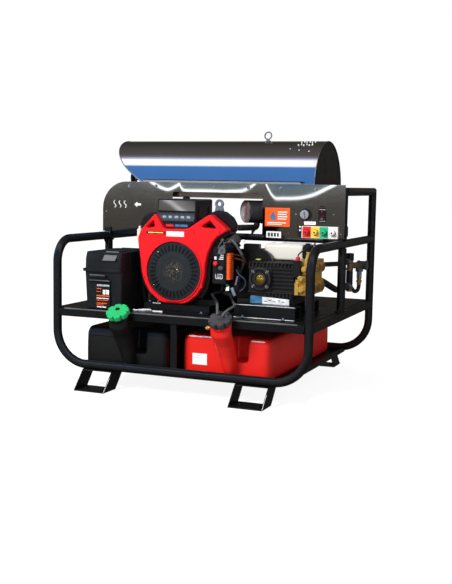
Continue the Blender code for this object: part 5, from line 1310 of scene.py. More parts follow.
def risers():
    for name, x0, x1, front in (("engine", -0.205, 0.115, -0.3435), ("pump", 0.235, 0.505, -0.425)):
        low, step, top = SHELF_TOP + GAP, SHELF_TOP + 0.0055, 0.41
        outline = [(-0.435, low), (-0.075, low), (-0.075, step), (-0.085, step), (-0.085, top), (-0.165, top)]
        outline += [(-0.165, step), (front + 0.08, step), (front + 0.08, top), (front, top), (front, step),
                    (-0.435, step)]
        holes = [rectangle(y + 0.004, step, y + 0.076, top - 0.004) for y in (front, -0.165)]
        shape = Shape().prism([outline] + holes, "X", x0, x1)
        shape.piece(f"{name}_riser", BLACK_SHEET, stands_for=[f"{name}_base"], bevel=0.0014, segments=3)
        if name == "engine":
            apron = Shape().plate(
                [fillet([(x0 + 0.002, step), (x1 - 0.004, step), (x1 - 0.004, 0.3885), (x0 + 0.002, 0.3885)],
                        0.003)], "Y", -0.405, -0.401, 0.0014)
            apron.plate([fillet([(x0 + 0.002, -0.405), (x1 - 0.004, -0.405), (x1 - 0.004, -0.345),
                                 (x0 + 0.002, -0.345)], 0.003)], "Z", 0.3845, 0.3885, 0.0014)
            apron.piece("engine_riser_apron", BLACK_SHEET)
    hardware = Shape()
    for x, y in ((-0.17, -0.42), (0.08, -0.42), (0.455, -0.431), (0.275, -0.431)):
        hardware.bolt((x, y, SHELF_TOP + 0.0055), UP, 0.0072)
    for x in (-0.19, 0.1, 0.25, 0.49):
        hardware.bolt((x, -0.08, SHELF_TOP + 0.0055), UP, 0.0065)
    for x in (-0.19, -0.15):
        hardware.bolt((x, -0.372, 0.389), UP, 0.006)
    hardware.piece("riser_bolts", ZINC)
    slots = Shape()
    for x0, x1, y in ((-0.19, -0.145, -0.4195), (0.245, 0.3, -0.4315)):
        slots.prism([fillet([(x0, y - 0.005), (x1, y - 0.005), (x1, y + 0.005), (x0, y + 0.005)], 0.0045)],
                    "Z", SHELF_TOP + 0.0056, SHELF_TOP + 0.0062)
    slots.piece("riser_slots", ZINC)
    # Pale strips along the risers' front edges: painted highlights.
    edges = Shape()
    edges.block((-0.214, -0.4358, SHELF_TOP + 0.0006), (-0.098, -0.4345, SHELF_TOP + 0.0062))
    edges.block((0.236, -0.4353, SHELF_TOP + 0.0035), (0.504, -0.4345, SHELF_TOP + 0.0062))
    edges.block((-0.16, -0.4056, 0.3868), (-0.122, -0.4048, 0.3892))
    edges.block((0.236, -0.4256, 0.4084), (0.504, -0.4248, 0.4104))
    edges.piece("riser_painted_edge_highlights", WHITE_STEEL)
    tie = Shape().pipe(flowing([(-0.236, -0.442, SHELF_TOP + 0.004), (-0.215, -0.45, SHELF_TOP + 0.005),
                                (-0.18, -0.446, SHELF_TOP + 0.009), (-0.15, -0.44, SHELF_TOP + 0.008)]),
                        0.0032, 8)
    tie.piece("riser_tie_wire", PALE)


PUMP_X, PUMP_Z = 0.328, 0.516
SMALL_WHEEL, LARGE_WHEEL = 0.045, 0.085


def belt_loop(offset, small_count):
    """The line round both pulleys, set out from their rims by offset."""
    small, large = SMALL_WHEEL + offset, LARGE_WHEEL + offset
    dx, dz = PUMP_X - ENGINE_X, PUMP_Z - ENGINE_Z
    tilt = math.degrees(math.atan2(dz, dx))
    wrap = math.degrees(math.acos((large - small) / math.hypot(dx, dz)))
    loop = circle(PUMP_X, PUMP_Z, large, 48, tilt - 180 + wrap, tilt + 180 - wrap)
    return loop + circle(ENGINE_X, ENGINE_Z, small, small_count, tilt + 180 - wrap, tilt + 180 + wrap)


def belt_drive():
    shaft = Shape().turned([(0, 0), (0.0175, 0), (0.0175, 0.285), (0.0175, 0.358), (0.0155, 0.36), (0, 0.36)],
                           (ENGINE_X, FAN_BACK, ENGINE_Z), -FRONT, 32)
    grooves = [(0.0178, 0.285), (0.043, 0.285), (0.045, 0.287), (0.045, 0.297), (0.038, 0.3035),
               (0.045, 0.31)]
    grooves += [(0.045, 0.318), (0.038, 0.3245), (0.045, 0.331), (0.045, 0.341), (0.043, 0.343),
                (0.026, 0.343), (0.024, 0.345), (0.024, 0.358), (0.0178, 0.359)]
    shaft.turned(grooves, (ENGINE_X, FAN_BACK, ENGINE_Z), -FRONT, 48)
    shaft.block((ENGINE_X - 0.003, FAN_BACK + 0.343, ENGINE_Z + 0.014), (ENGINE_X + 0.003, FAN_BACK + 0.3595,
            ENGINE_Z + 0.02))
    shaft.piece("engine_shaft_pulley", ALLOY, "engine_rotor", ["crankshaft"])
    wheel = Shape().turned([(0.02, 0), (0.078, 0), (0.08, 0.002), (0.08, 0.044), (0.02, 0.044)],
                           (ENGINE_X, -0.3905, ENGINE_Z), -FRONT, 48)
    for i in range(18):
        a = TAU * i / 18
        out, lead = Vector((math.cos(a), 0, math.sin(a))), Vector((math.cos(a + 0.22), 0, math.sin(a + 0.22)))
        mid = Vector((ENGINE_X, -0.39, ENGINE_Z))
        side = out.cross(FRONT) * 0.0016
        foot, tip = mid + out * 0.078, mid + lead * 0.112
        depth = -FRONT * 0.038
        wheel.add([foot - side, foot + side, tip + side, tip - side, foot - side + depth, foot + side + depth,
                   tip + side + depth, tip - side + depth],
                  BOX_FACES)
    wheel.rod((ENGINE_X, -0.3915, ENGINE_Z), (ENGINE_X, -0.348, ENGINE_Z), 0.022, 32)
    wheel.piece("flywheel_blades", CAST, "engine_rotor", ["flywheel_fan"])
    big = Shape().turned([(0, 0), (0.0143, 0), (0.0143, 0.136), (0.0143, 0.203), (0, 0.203)],
                         (PUMP_X, -0.195, PUMP_Z), -FRONT, 32)
    rim = [(0.066, 0.14), (0.083, 0.134), (0.085, 0.136), (0.085, 0.147), (0.078, 0.1535), (0.085, 0.16),
           (0.085, 0.168), (0.078, 0.1745), (0.085, 0.181), (0.085, 0.191), (0.083, 0.193), (0.066, 0.187)]
    big.turned(rim, (PUMP_X, -0.195, PUMP_Z), -FRONT, 64)
    big.turned([(0.0146, 0.15), (0.068, 0.158), (0.068, 0.17), (0.0146, 0.172)], (PUMP_X, -0.195, PUMP_Z),
               -FRONT, 48)
    big.turned([(0.0146, 0.14), (0.028, 0.14), (0.028, 0.193), (0.026, 0.203), (0.0146, 0.203)],
               (PUMP_X, -0.195, PUMP_Z), -FRONT, 40)
    for x, z in circle(PUMP_X, PUMP_Z, 0.021, 3):
        big.bolt((x, 0.0065, z), -FRONT, 0.0035, washer=False)
    big.piece("pump_drive_pulley", PUMP, "pump_rotor", ["pump_pulley"])
    for k, (front, back) in enumerate(((-0.05, -0.0325), (-0.0285, -0.011))):
        belt = Shape().plate([belt_loop(0.008, 28), belt_loop(0.0008, 28)], "Y", front, back, 0.001)
        belt.piece(f"v_belt_{k}", RUBBER, stands_for=["drive_belt"] if k == 0 else ())


def belt_cover():
    outer, inner = belt_loop(0.0255, 24), belt_loop(0.023, 24)
    wall = Shape().prism([outer, inner], "Y", -0.056, 0.03)
    wall.plate([belt_loop(0.0245, 24)], "Y", 0.0275, 0.03, 0.0008)
    for k in range(7):
        wall.plate([rectangle(0.02 + k * 0.03, 0.48, 0.034 + k * 0.03, 0.57, 0.006)], "Y", 0.0295, 0.0318,
                   0.001)
    for y in (-0.056, 0.0285):
        wall.plate([belt_loop(0.0268, 24), belt_loop(0.0222, 24)], "Y", y - 0.0008, y + 0.0016, 0.0006)
    wall.plate([rectangle(0.15, SHELF_TOP + 0.001, 0.25, 0.5, 0.004)], "Y", 0.0285, 0.0315, 0.0008)
    wall.block((0.149, 0.029, SHELF_TOP + GAP), (0.251, 0.06, SHELF_TOP + 0.004))
    wall.piece("belt_cover", BLACK_SHEET, stands_for=["belt_guard"])
    mass = Shape().plate([rectangle(0.205, 0.575, 0.278, 0.656, 0.006)], "Y", -0.255, -0.225, 0.003)
    mass.plate([rectangle(0.13, 0.4108, 0.268, 0.6, 0.006)], "Y", -0.232, -0.205, 0.003)
    mass.piece("voltage_box", SHROUD)
    disc = Shape().turned([(0, 0), (0.057, 0), (0.06, 0.003), (0.06, 0.03), (0.054, 0.037), (0.02, 0.037),
                           (0, 0.034)], (0.28, -0.225, 0.575), FRONT, 56)
    disc.piece("clutch_housing", SHROUD)
    bolts = Shape()
    for x in (0.17, 0.23):
        bolts.bolt((x, 0.048, SHELF_TOP + 0.004), UP, 0.0055)
        bolts.bolt((x, 0.0315, 0.44), -FRONT, 0.0055)
    bolts.bolt((PUMP_X, 0.03, 0.59), -FRONT, 0.005)
    bolts.bolt((PUMP_X, 0.03, 0.44), -FRONT, 0.005)
    bolts.piece("belt_cover_bolts", ZINC)


# ---- Pump ----

UNLOADER_X, UNLOADER_Y = 0.523, -0.305


def pump():
    low, high = 0.4104, 0.586
    core = [(0.284, low), (0.468, low), (0.468, 0.438), (0.4725, 0.444), (0.4725, 0.574), (0.276, 0.574),
            (0.27, 0.56), (0.27, 0.455), (0.284, 0.44)]
    body = Shape().plate([fillet(core, 0.004)], "Y", -0.3525, -0.12, 0.003)
    for k in range(13):
        x = 0.2725 + k * 0.0161
        body.plate([rectangle(x, 0.566, x + 0.004, high, 0.001)], "Y", -0.36, -0.124, 0.0008, 1)
    for k in range(8):
        x = 0.348 + k * 0.016
        body.plate([rectangle(x, 0.436, x + 0.004, 0.458, 0.001)], "Y", -0.36, -0.33, 0.0008, 1)
    for k in range(6):
        z = 0.464 + k * 0.0162
        body.plate([rectangle(0.378, z, 0.474, z + 0.0045, 0.001)], "Y", -0.36, -0.35, 0.0008, 1)
    body.plate([rectangle(0.27, 0.56, 0.4735, 0.5645, 0.001)], "Y", -0.3598, -0.345, 0.0008, 1)
    body.plate([rectangle(0.27, 0.457, 0.4735, 0.4615, 0.001)], "Y", -0.3598, -0.345, 0.0008, 1)
    body.plate([fillet(rectangle(0.276, 0.462, 0.376, 0.562), 0.01)], "Y", -0.36, -0.35, 0.002)
    body.block((0.284, -0.345, low), (0.305, -0.13, 0.416))
    body.block((0.447, -0.345, low), (0.4675, -0.13, 0.416))
    body.piece("pump_casting", PUMP, stands_for=["pump_crankcase"])
    cover = Shape().turned([(0.0225, 0), (0.0485, 0), (0.0495, 0.003), (0.0485, 0.0115), (0.0455, 0.015),
                            (0.0415, 0.015), (0.0385, 0.0105), (0.03, 0.0105), (0.0275, 0.015),
                            (0.024, 0.0165), (0.0225, 0.015)], (PUMP_X, -0.36, PUMP_Z), FRONT, 56)
    cover.piece("pump_bearing_cover", PUMP)
    bolts = Shape()
    for dx, dz in ((-0.031, 0.031), (0.031, 0.031), (-0.031, -0.031), (0.031, -0.031)):
        bolts.bolt((PUMP_X + dx, -0.3705, PUMP_Z + dz), FRONT, 0.0058)
    bolts.piece("pump_cover_bolts", ZINC)
    glass = Shape().turned([(0, 0), (0.0222, 0), (0.0222, 0.007), (0.019, 0.0115), (0.012, 0.015),
                            (0.005, 0.0165), (0, 0.0168)], (PUMP_X, -0.36, PUMP_Z), FRONT, 40)
    glass.piece("oil_sight_glass", GOLD)
    oil = Shape()
    oil.turned([(0, 0), (0.019, 0), (0.019, 0.004), (0.017, 0.006), (0.015, 0.006), (0.015, 0.012),
                (0.0135, 0.014), (0, 0.0145)], (0.285, -0.275, 0.5765), UP, 24)
    oil.piece("oil_filler_base", BLACK)
    mark = Shape().turned([(0, 0), (0.012, 0), (0.0112, 0.0028), (0, 0.0032)], (0.285, -0.275, 0.5905), UP,
                          24)
    mark.piece("oil_filler_mark", LEMON)
    label = Shape().plate([fillet([(0.284, 0.4112), (0.337, 0.4112), (0.337, 0.4412), (0.284, 0.444)],
                                  0.002)], "Y", -0.3665, -0.3602, 0.001)
    label.piece("pump_tag_blue", BLUE)
    Shape().plate([fillet([(0.3375, 0.4112), (0.458, 0.409), (0.458, 0.435), (0.3375, 0.4405)], 0.002)], "Y",
                  -0.3655, -0.3602, 0.001).piece("pump_tag_pale", PALE_TAG)
    marks = Shape()
    for k in range(5):
        marks.block((0.347 + k * 0.02, -0.3662, 0.421 + 0.005 * (k % 2)), (0.358 + k * 0.02, -0.3653,
                0.424 + 0.005 * (k % 2)))
    marks.piece("pump_tag_marks", BLACK)


def pump_head():
    y0, y1 = -0.35, -0.128
    body = Shape()
    body.block((0.4745, y0, 0.452), (0.536, y1, 0.512))
    body.block((0.4745, y0 + 0.004, 0.512), (0.53, y1 - 0.004, 0.54))
    body.block((0.4745, y0, 0.54), (0.536, y1, 0.598))
    body.piece("pump_head_block", BRASS, stands_for=["pump_manifold"], bevel=0.0035, segments=3)
    caps = Shape()
    for n in range(3):
        y = -0.305 + n * 0.066
        for z in (0.482, 0.566):
            caps.turned([(0, 0), (0.0205, 0), (0.0205, 0.003), (0.0185, 0.004), (0.0185, 0.0125),
                         (0.0165, 0.015), (0, 0.0155)], (0.536, y, z), RIGHT, 6, 0.0)
            caps.turned([(0, 0.015), (0.0105, 0.015), (0.01, 0.0158), (0, 0.016)], (0.536, y, z), RIGHT, 20)
    caps.piece("pump_valve_caps", BRASS, bevel=0.0006)
    front = Shape()
    front.turned([(0, 0), (0.018, 0), (0.018, 0.006), (0.015, 0.008), (0.015, 0.018), (0.012, 0.02),
                  (0, 0.02)], (0.507, y0, 0.48), FRONT, 6, 0.0)
    front.turned([(0, 0), (0.016, 0), (0.016, 0.006), (0.0125, 0.008), (0.0125, 0.022), (0.0105, 0.024),
                  (0, 0.024)], (0.519, y0, 0.566), FRONT, 6, 0.0)
    front.block((0.48, y0 - 0.016, 0.456), (0.496, y0 + 0.002, 0.506))
    front.rod((0.507, y0 - 0.01, 0.505), (0.52, y0 - 0.018, 0.535), 0.008, 16, edge=0.001)
    front.turned([(0, 0), (0.013, 0), (0.013, 0.012), (0.01, 0.014), (0, 0.014)], (0.507, y0 - 0.022, 0.526),
                 (0.3, -1, 0.2), 6, 0.0)
    front.piece("pump_head_fittings", BRASS, bevel=0.0008)
    post = Shape()
    post.turned([(0, 0), (0.017, 0), (0.017, 0.01), (0.0145, 0.012), (0.0145, 0.024), (0.012, 0.026),
                 (0.012, 0.038), (0, 0.0385)], (UNLOADER_X, UNLOADER_Y, 0.5975), UP, 24)
    post.turned([(0, 0), (0.016, 0), (0.016, 0.008), (0, 0.008)], (UNLOADER_X, UNLOADER_Y, 0.61), UP, 6, 0.0)
    post.piece("unloader_body", BRASS)
    knob = Shape().turned([(0, 0), (0.0085, 0), (0.015, 0.004), (0.0165, 0.007), (0.0165, 0.024),
                           (0.015, 0.028), (0.01, 0.03), (0, 0.03)], (UNLOADER_X, UNLOADER_Y, 0.6344), UP, 40)
    for x, y in circle(UNLOADER_X, UNLOADER_Y, 0.0163, 20):
        knob.rod((x, y, 0.641), (x, y, 0.659), 0.001, 8)
    knob.block((0.5215, -0.32, 0.6635), (0.5245, -0.309, 0.665))
    knob.piece("unloader_hand_knob", BLACK, "unloader_dial", ["unloader_knob"])
    switch = Shape().plate([fillet([(0.478, 0.531), (0.507, 0.531), (0.507, 0.602), (0.478, 0.602)], 0.004)],
                           "Y", -0.382, -0.3505, 0.003)
    switch.rod((0.492, -0.366, 0.522), (0.492, -0.366, 0.533), 0.0085, 20)
    switch.piece("pressure_switch_body", BLACK, stands_for=["pressure_switch"])
    boot = Shape().turned([(0, 0), (0.0098, 0), (0.0098, 0.01), (0.008, 0.015), (0.0045, 0.017), (0, 0.017)],
                          (0.4925, -0.366, 0.6015), UP, 24)
    boot.piece("pressure_switch_boot", RED_SMALL)
    cable = Shape().pipe(flowing([(0.4925, -0.366, 0.616), (0.496, -0.366, 0.628), (0.51, -0.355, 0.642),
                                  (0.524, -0.325, 0.654), (0.518, -0.25, 0.66), (0.49, -0.12, 0.655),
                                  (0.47, -0.062, 0.66)]), 0.0032, 10)
    cable.piece("pressure_switch_cable", RUBBER)
    reg = Shape()
    reg.block((0.462, -0.215, 0.6005), (0.492, -0.155, 0.653))
    reg.rod((0.477, -0.185, 0.64), (0.477, -0.185, 0.664), 0.011, 24)
    reg.piece("thermal_valve", SHROUD, bevel=0.003)


def water_side():
    low, high = (0.285, -0.215, 0.5875), (0.47, -0.0635, 0.656)
    tank = Shape()
    rings = []
    for inset, z in ((0.01, low[2]), (0.003, low[2] + 0.003), (0.0, low[2] + 0.01), (0.0, high[2] - 0.012),
                     (0.003, high[2] - 0.004), (0.012, high[2])):
        rings.append(box_ring(low[0] + inset, low[1] + inset, high[0] - inset, high[1] - inset, z, 0.016))
    tank.loft(rings)
    tank.piece("water_float_tank", CREAM, stands_for=["float_tank"], angle=60)
    lid = Shape().plate([rectangle(0.291, -0.209, 0.464, -0.07, 0.014)], "Z", 0.655, 0.658, 0.001)
    lid.turned([(0, 0), (0.022, 0), (0.022, 0.004), (0.019, 0.006), (0, 0.006)], (0.33, -0.12, 0.657), UP, 24)
    lid.piece("water_float_tank_lid", WHITE)
    valve = Shape()
    valve.turned([(0, 0), (0.0115, 0), (0.014, 0.002), (0.014, 0.183), (0, 0.183)], (0.55, 0.256, 0.415), UP,
                 24)
    for z, size in ((0.5445, 0.0185), (0.5155, 0.017), (0.427, 0.0175)):
        valve.turned([(0, 0), (size, 0), (size, 0.014), (0, 0.014)], (0.55, 0.256, z), UP, 6)
    valve.rod((0.55, 0.236, 0.56), (0.55, 0.262, 0.56), 0.0125, 20)
    valve.rod((0.55, 0.236, 0.443), (0.55, 0.262, 0.443), 0.015, 20)
    valve.rod((0.552, 0.258, 0.54), (0.565, 0.385, 0.532), 0.0115, 20)
    valve.turned([(0, 0), (0.0165, 0), (0.0165, 0.016), (0, 0.016)], (0.558, 0.32, 0.5362), (0.1, 1, -0.06),
                 6)
    valve.piece("outlet_fittings", BRONZE, stands_for=["outlet_valve"], bevel=0.0006)
    block = Shape()
    block.rod((0.55, 0.256, 0.562), (0.55, 0.256, 0.598), 0.0185, 28, edge=0.002)
    block.rod((0.55, 0.256, 0.44), (0.55, 0.256, 0.514), 0.016, 28, edge=0.002)
    block.piece("outlet_valve_sleeves", BLACK)
    tee = Shape()
    tee.rod((0.548, 0.4, 0.532), (0.598, 0.4, 0.532), 0.021, 28, edge=0.002)
    tee.rod((0.553, 0.4, 0.532), (0.56, 0.4, 0.532), 0.0235, 28, edge=0.001)
    tee.rod((0.59, 0.4, 0.532), (0.599, 0.4, 0.532), 0.0235, 28, edge=0.001)
    tee.rod((0.56, 0.4, 0.545), (0.56, 0.4, 0.5), 0.0185, 28, edge=0.002)
    tee.piece("outlet_tee", TEE_GREY)
    Shape().rod((0.56, 0.4, 0.502), (0.56, 0.4, 0.466), 0.0125, 20, edge=0.001).piece("outlet_nipple_upper",
        ALLOY)
    nipple = Shape().rod((0.56, 0.4, 0.468), (0.56, 0.4, 0.436), 0.0105, 20, edge=0.001)
    nipple.turned([(0, 0), (0.0135, 0), (0.0135, 0.01), (0, 0.01)], (0.56, 0.4, 0.448), UP, 6)
    nipple.piece("outlet_nipple", BRASS)
    elbow = Shape().pipe(flowing([(0.56, 0.4, 0.446), (0.56, 0.396, 0.424), (0.56, 0.372, 0.41),
                                  (0.556, 0.33, 0.41), (0.551, 0.29, 0.432), (0.55, 0.262, 0.436)]), 0.0095,
                          14)
    elbow.piece("bypass_hose", RUBBER)
    hose = Shape()
    path = rounded([(0.51, -0.1275, 0.566), (0.51, -0.09, 0.566), (0.55, 0.08, 0.56), (0.55, 0.2355, 0.56)],
                   (0.08, 0.08))
    hose.pipe(path, 0.011, 18)
    hose.piece("pressure_hose", RUBBER, stands_for=["discharge_hose"])
    hose = Shape()
    path = rounded([(0.51, -0.1275, 0.495), (0.51, -0.08, 0.495), (0.545, 0.045, 0.443),
                    (0.55, 0.2355, 0.443)], (0.06, 0.08))
    hose.pipe(path, 0.0145, 18)
    hose.piece("suction_hose", RUBBER, stands_for=["inlet_hose"])
    ends = Shape()
    for a, b, r in (((0.51, -0.1275, 0.566), (0.51, -0.1, 0.566), 0.0145),
                    ((0.55, 0.2, 0.56), (0.55, 0.2355, 0.56), 0.0148),
                    ((0.51, -0.1275, 0.495), (0.51, -0.095, 0.495), 0.0172),
                    ((0.55, 0.205, 0.443), (0.55, 0.2355, 0.443), 0.0175)):
        ends.rod(a, b, r, 24, edge=0.0015)
    ends.piece("hose_ferrules", ZINC)


# ---- Tanks and battery ----

# Both filler necks lean forward by 30 degrees.
CAP_AXIS = Vector((0.0, -0.5, 0.8660254))
NECK_TOP_Y = -0.5423
DIESEL_X, PETROL_X = -0.2555, 0.2233


def moulded_tank(name, span, neck_x, look, node):
    """Tank with two shoulders in front, a leaning filler column between them and a recess beside it."""
    x0, x1 = span
    y0, y1, z0, z1, r = -0.455, 0.43, 0.0895, 0.271, 0.034

    def ring(inset, z, depth):
        left, right, front, back = x0 + inset, x1 - inset, y0 + inset, y1 - inset
        loop = circle(left + r, front + r, r, 7, 180, 270)
        loop += [(neck_x + 0.016, front), (neck_x + 0.02, front + depth), (neck_x + 0.085, front + depth),
                 (neck_x + 0.089, front)]
        loop += circle(right - r, front + r, r, 7, 270, 360) + circle(right - r, back - r, r, 7, 0,
            90) + circle(left + r, back - r, r, 7, 90, 180)
        return [Vector((x, y, z)) for x, y in loop]

    body = Shape().loft([
        ring(0.02, z0, 0.0006), ring(0.006, z0 + 0.005, 0.0006), ring(0.0, z0 + 0.018, 0.0006),
        ring(0.0, 0.166, 0.0006),
        ring(0.0, 0.178, 0.058), ring(0.0015, z1 - 0.03, 0.058), ring(0.008, z1 - 0.008, 0.058),
        ring(0.018, z1 - 0.001, 0.058)])
    body.loft([
        ring_at((neck_x + 0.018, -0.45, 0.094), (0, 0, 1), 0.022, 0.026),
        ring_at((neck_x + 0.014, -0.46, 0.13), (0, 0, 1), 0.03, 0.034),
        ring_at((neck_x + 0.008, -0.474, 0.19), (0, -0.05, 1), 0.039, 0.04),
        ring_at((neck_x + 0.002, -0.502, 0.25), (0, -0.3, 0.95), 0.044, 0.038),
        ring_at((neck_x, -0.5405, 0.298), CAP_AXIS, 0.0465, 0.033),
        ring_at((neck_x, NECK_TOP_Y, 0.338), CAP_AXIS, 0.0465, 0.034)])
    return body.piece(name, look, stands_for=[node], voxel=0.004, soften=4)


def scalloped_cap(name, neck_x, look, body, node):
    """A filler cap with eight finger scallops, and the frame its fittings stand in."""
    base = Vector((neck_x, NECK_TOP_Y, 0.3433)) + CAP_AXIS * GAP
    side, other = RIGHT, CAP_AXIS.cross(RIGHT)
    rings, count = [], 128
    profile = ((-0.003, 0.84), (0.0, 0.86), (0.0015, 0.96), (0.004, 0.985), (0.018, 0.995), (0.0215, 0.98),
               (0.024, 0.94), (0.0248, 0.88))
    for height, scale in profile:
        ring = []
        for i in range(count):
            a = TAU * i / count
            dent = max(0.0, math.cos(a * 8)) ** 3
            ring.append(base + CAP_AXIS * height + (side * math.cos(a) + other * math.sin(
                        a)) * 0.0515 * scale * (1.0 - 0.19 * dent))
        rings.append(ring)
    rings.append(ring_at(base + CAP_AXIS * 0.0235, CAP_AXIS, 0.036, 0.036, count))
    Shape().loft(rings).piece(name, look, body, [node], angle=60)
    return base, side, other


def tanks():
    moulded_tank("diesel_tank_body", (-0.474, -0.065), DIESEL_X, BLACK_TANK, "diesel_tank")
    moulded_tank("petrol_tank_body", (0.006, 0.41), PETROL_X, RED_TANK, "petrol_tank")
    base, side, other = scalloped_cap("diesel_filler_lid", DIESEL_X, GREEN, "diesel_filler_cap", "diesel_cap")
    vent = Shape().turned([(0, 0.0225), (0.0095, 0.0225), (0.0095, 0.0262), (0.0075, 0.0268), (0.007, 0.025),
                           (0, 0.025)], base + other * 0.01 - side * 0.004, CAP_AXIS, 24)
    vent.piece("diesel_filler_vent", BLACK, "diesel_filler_cap")
    base, side, other = scalloped_cap("petrol_filler_lid", PETROL_X, CAP_GREY, "skid", "petrol_cap")
    hub = Shape().turned([(0, 0.0225), (0.015, 0.0225), (0.014, 0.0262), (0, 0.0268)], base + other * 0.002,
                         CAP_AXIS, 24)
    hub.piece("petrol_filler_hub", CAP_GREY)
    barb = Shape().turned([(0, 0.022), (0.0065, 0.022), (0.0065, 0.029), (0.0045, 0.031), (0.0045, 0.038),
                           (0, 0.0385)], base + side * 0.023 + other * 0.012, CAP_AXIS, 20)
    barb.piece("petrol_filler_barb", ZINC)
    for name, neck_x, look in (("diesel", DIESEL_X, BLACK_TANK), ("petrol", PETROL_X, RED_TANK)):
        collar = Shape().turned([(0.03, -0.01), (0.043, -0.01), (0.0445, -0.007), (0.0445, -0.003),
                                 (0.043, -0.0005), (0.03, -0.0005)], (neck_x, NECK_TOP_Y, 0.3393), CAP_AXIS,
                             48)
        collar.piece(f"{name}_filler_collar", look)
    Shape().plate([rectangle(0.058, 0.142, 0.126, 0.1905, 0.003)], "Y", -0.4572, -0.454, 0.0008).piece(
        "petrol_tank_label", WHITE)
    lines = Shape()
    for k in range(2):
        lines.block((0.068, -0.4578, 0.18 - k * 0.01), (0.112, -0.457, 0.1825 - k * 0.01))
    lines.piece("petrol_tank_label_lines", PALE)
    # Pale lines along the petrol tank's top front edges: painted highlights.
    gleam = Shape()
    for x0, x1, z in ((0.04, 0.16, 0.2625), (0.325, 0.385, 0.26)):
        gleam.pipe([(x0, -0.449, z), (x1, -0.449, z)], 0.0028, 8)
    gleam.piece("petrol_tank_painted_highlights", PALE)
    ribs = Shape()
    for x0, x1, z in ((-0.44, -0.33, 0.232), (-0.44, -0.33, 0.12), (-0.15, -0.085, 0.12)):
        ribs.pipe([(x0, -0.4545, z), (x1, -0.4545, z)], 0.0016, 8)
    ribs.piece("diesel_tank_ribs", BLACK_TANK)
    hose = Shape().pipe(rounded([(0.208, -0.544, 0.377), (0.2, -0.53, 0.425), (0.15, -0.47, 0.45),
                                 (0.148, -0.35, 0.45), (0.148, -0.35, 0.4845)], (0.02, 0.03, 0.02), 8), 0.006,
                         16)
    hose.piece("fuel_supply_hose", HOSE_DARK_ABOVE, stands_for=["fuel_hose"])
    hose = Shape().pipe(flowing([(0.236, -0.552, 0.373), (0.24, -0.548, 0.386), (0.252, -0.53, 0.399),
                                 (0.262, -0.5, 0.41), (0.25, -0.47, 0.42), (0.215, -0.42, 0.438),
                                 (0.18, -0.368, 0.452)]), 0.0052, 14)
    hose.piece("fuel_return_hose", HOSE_DARK_ABOVE)
    brass = Shape().rod((0.176, -0.548, 0.322), (0.16, -0.552, 0.316), 0.0065, 16, edge=0.001)
    brass.turned([(0, 0), (0.0085, 0), (0.0085, 0.006), (0, 0.006)], (0.17, -0.549, 0.32), (-1, -0.2, -0.3),
                 6)
    brass.piece("fuel_tap", BRASS)


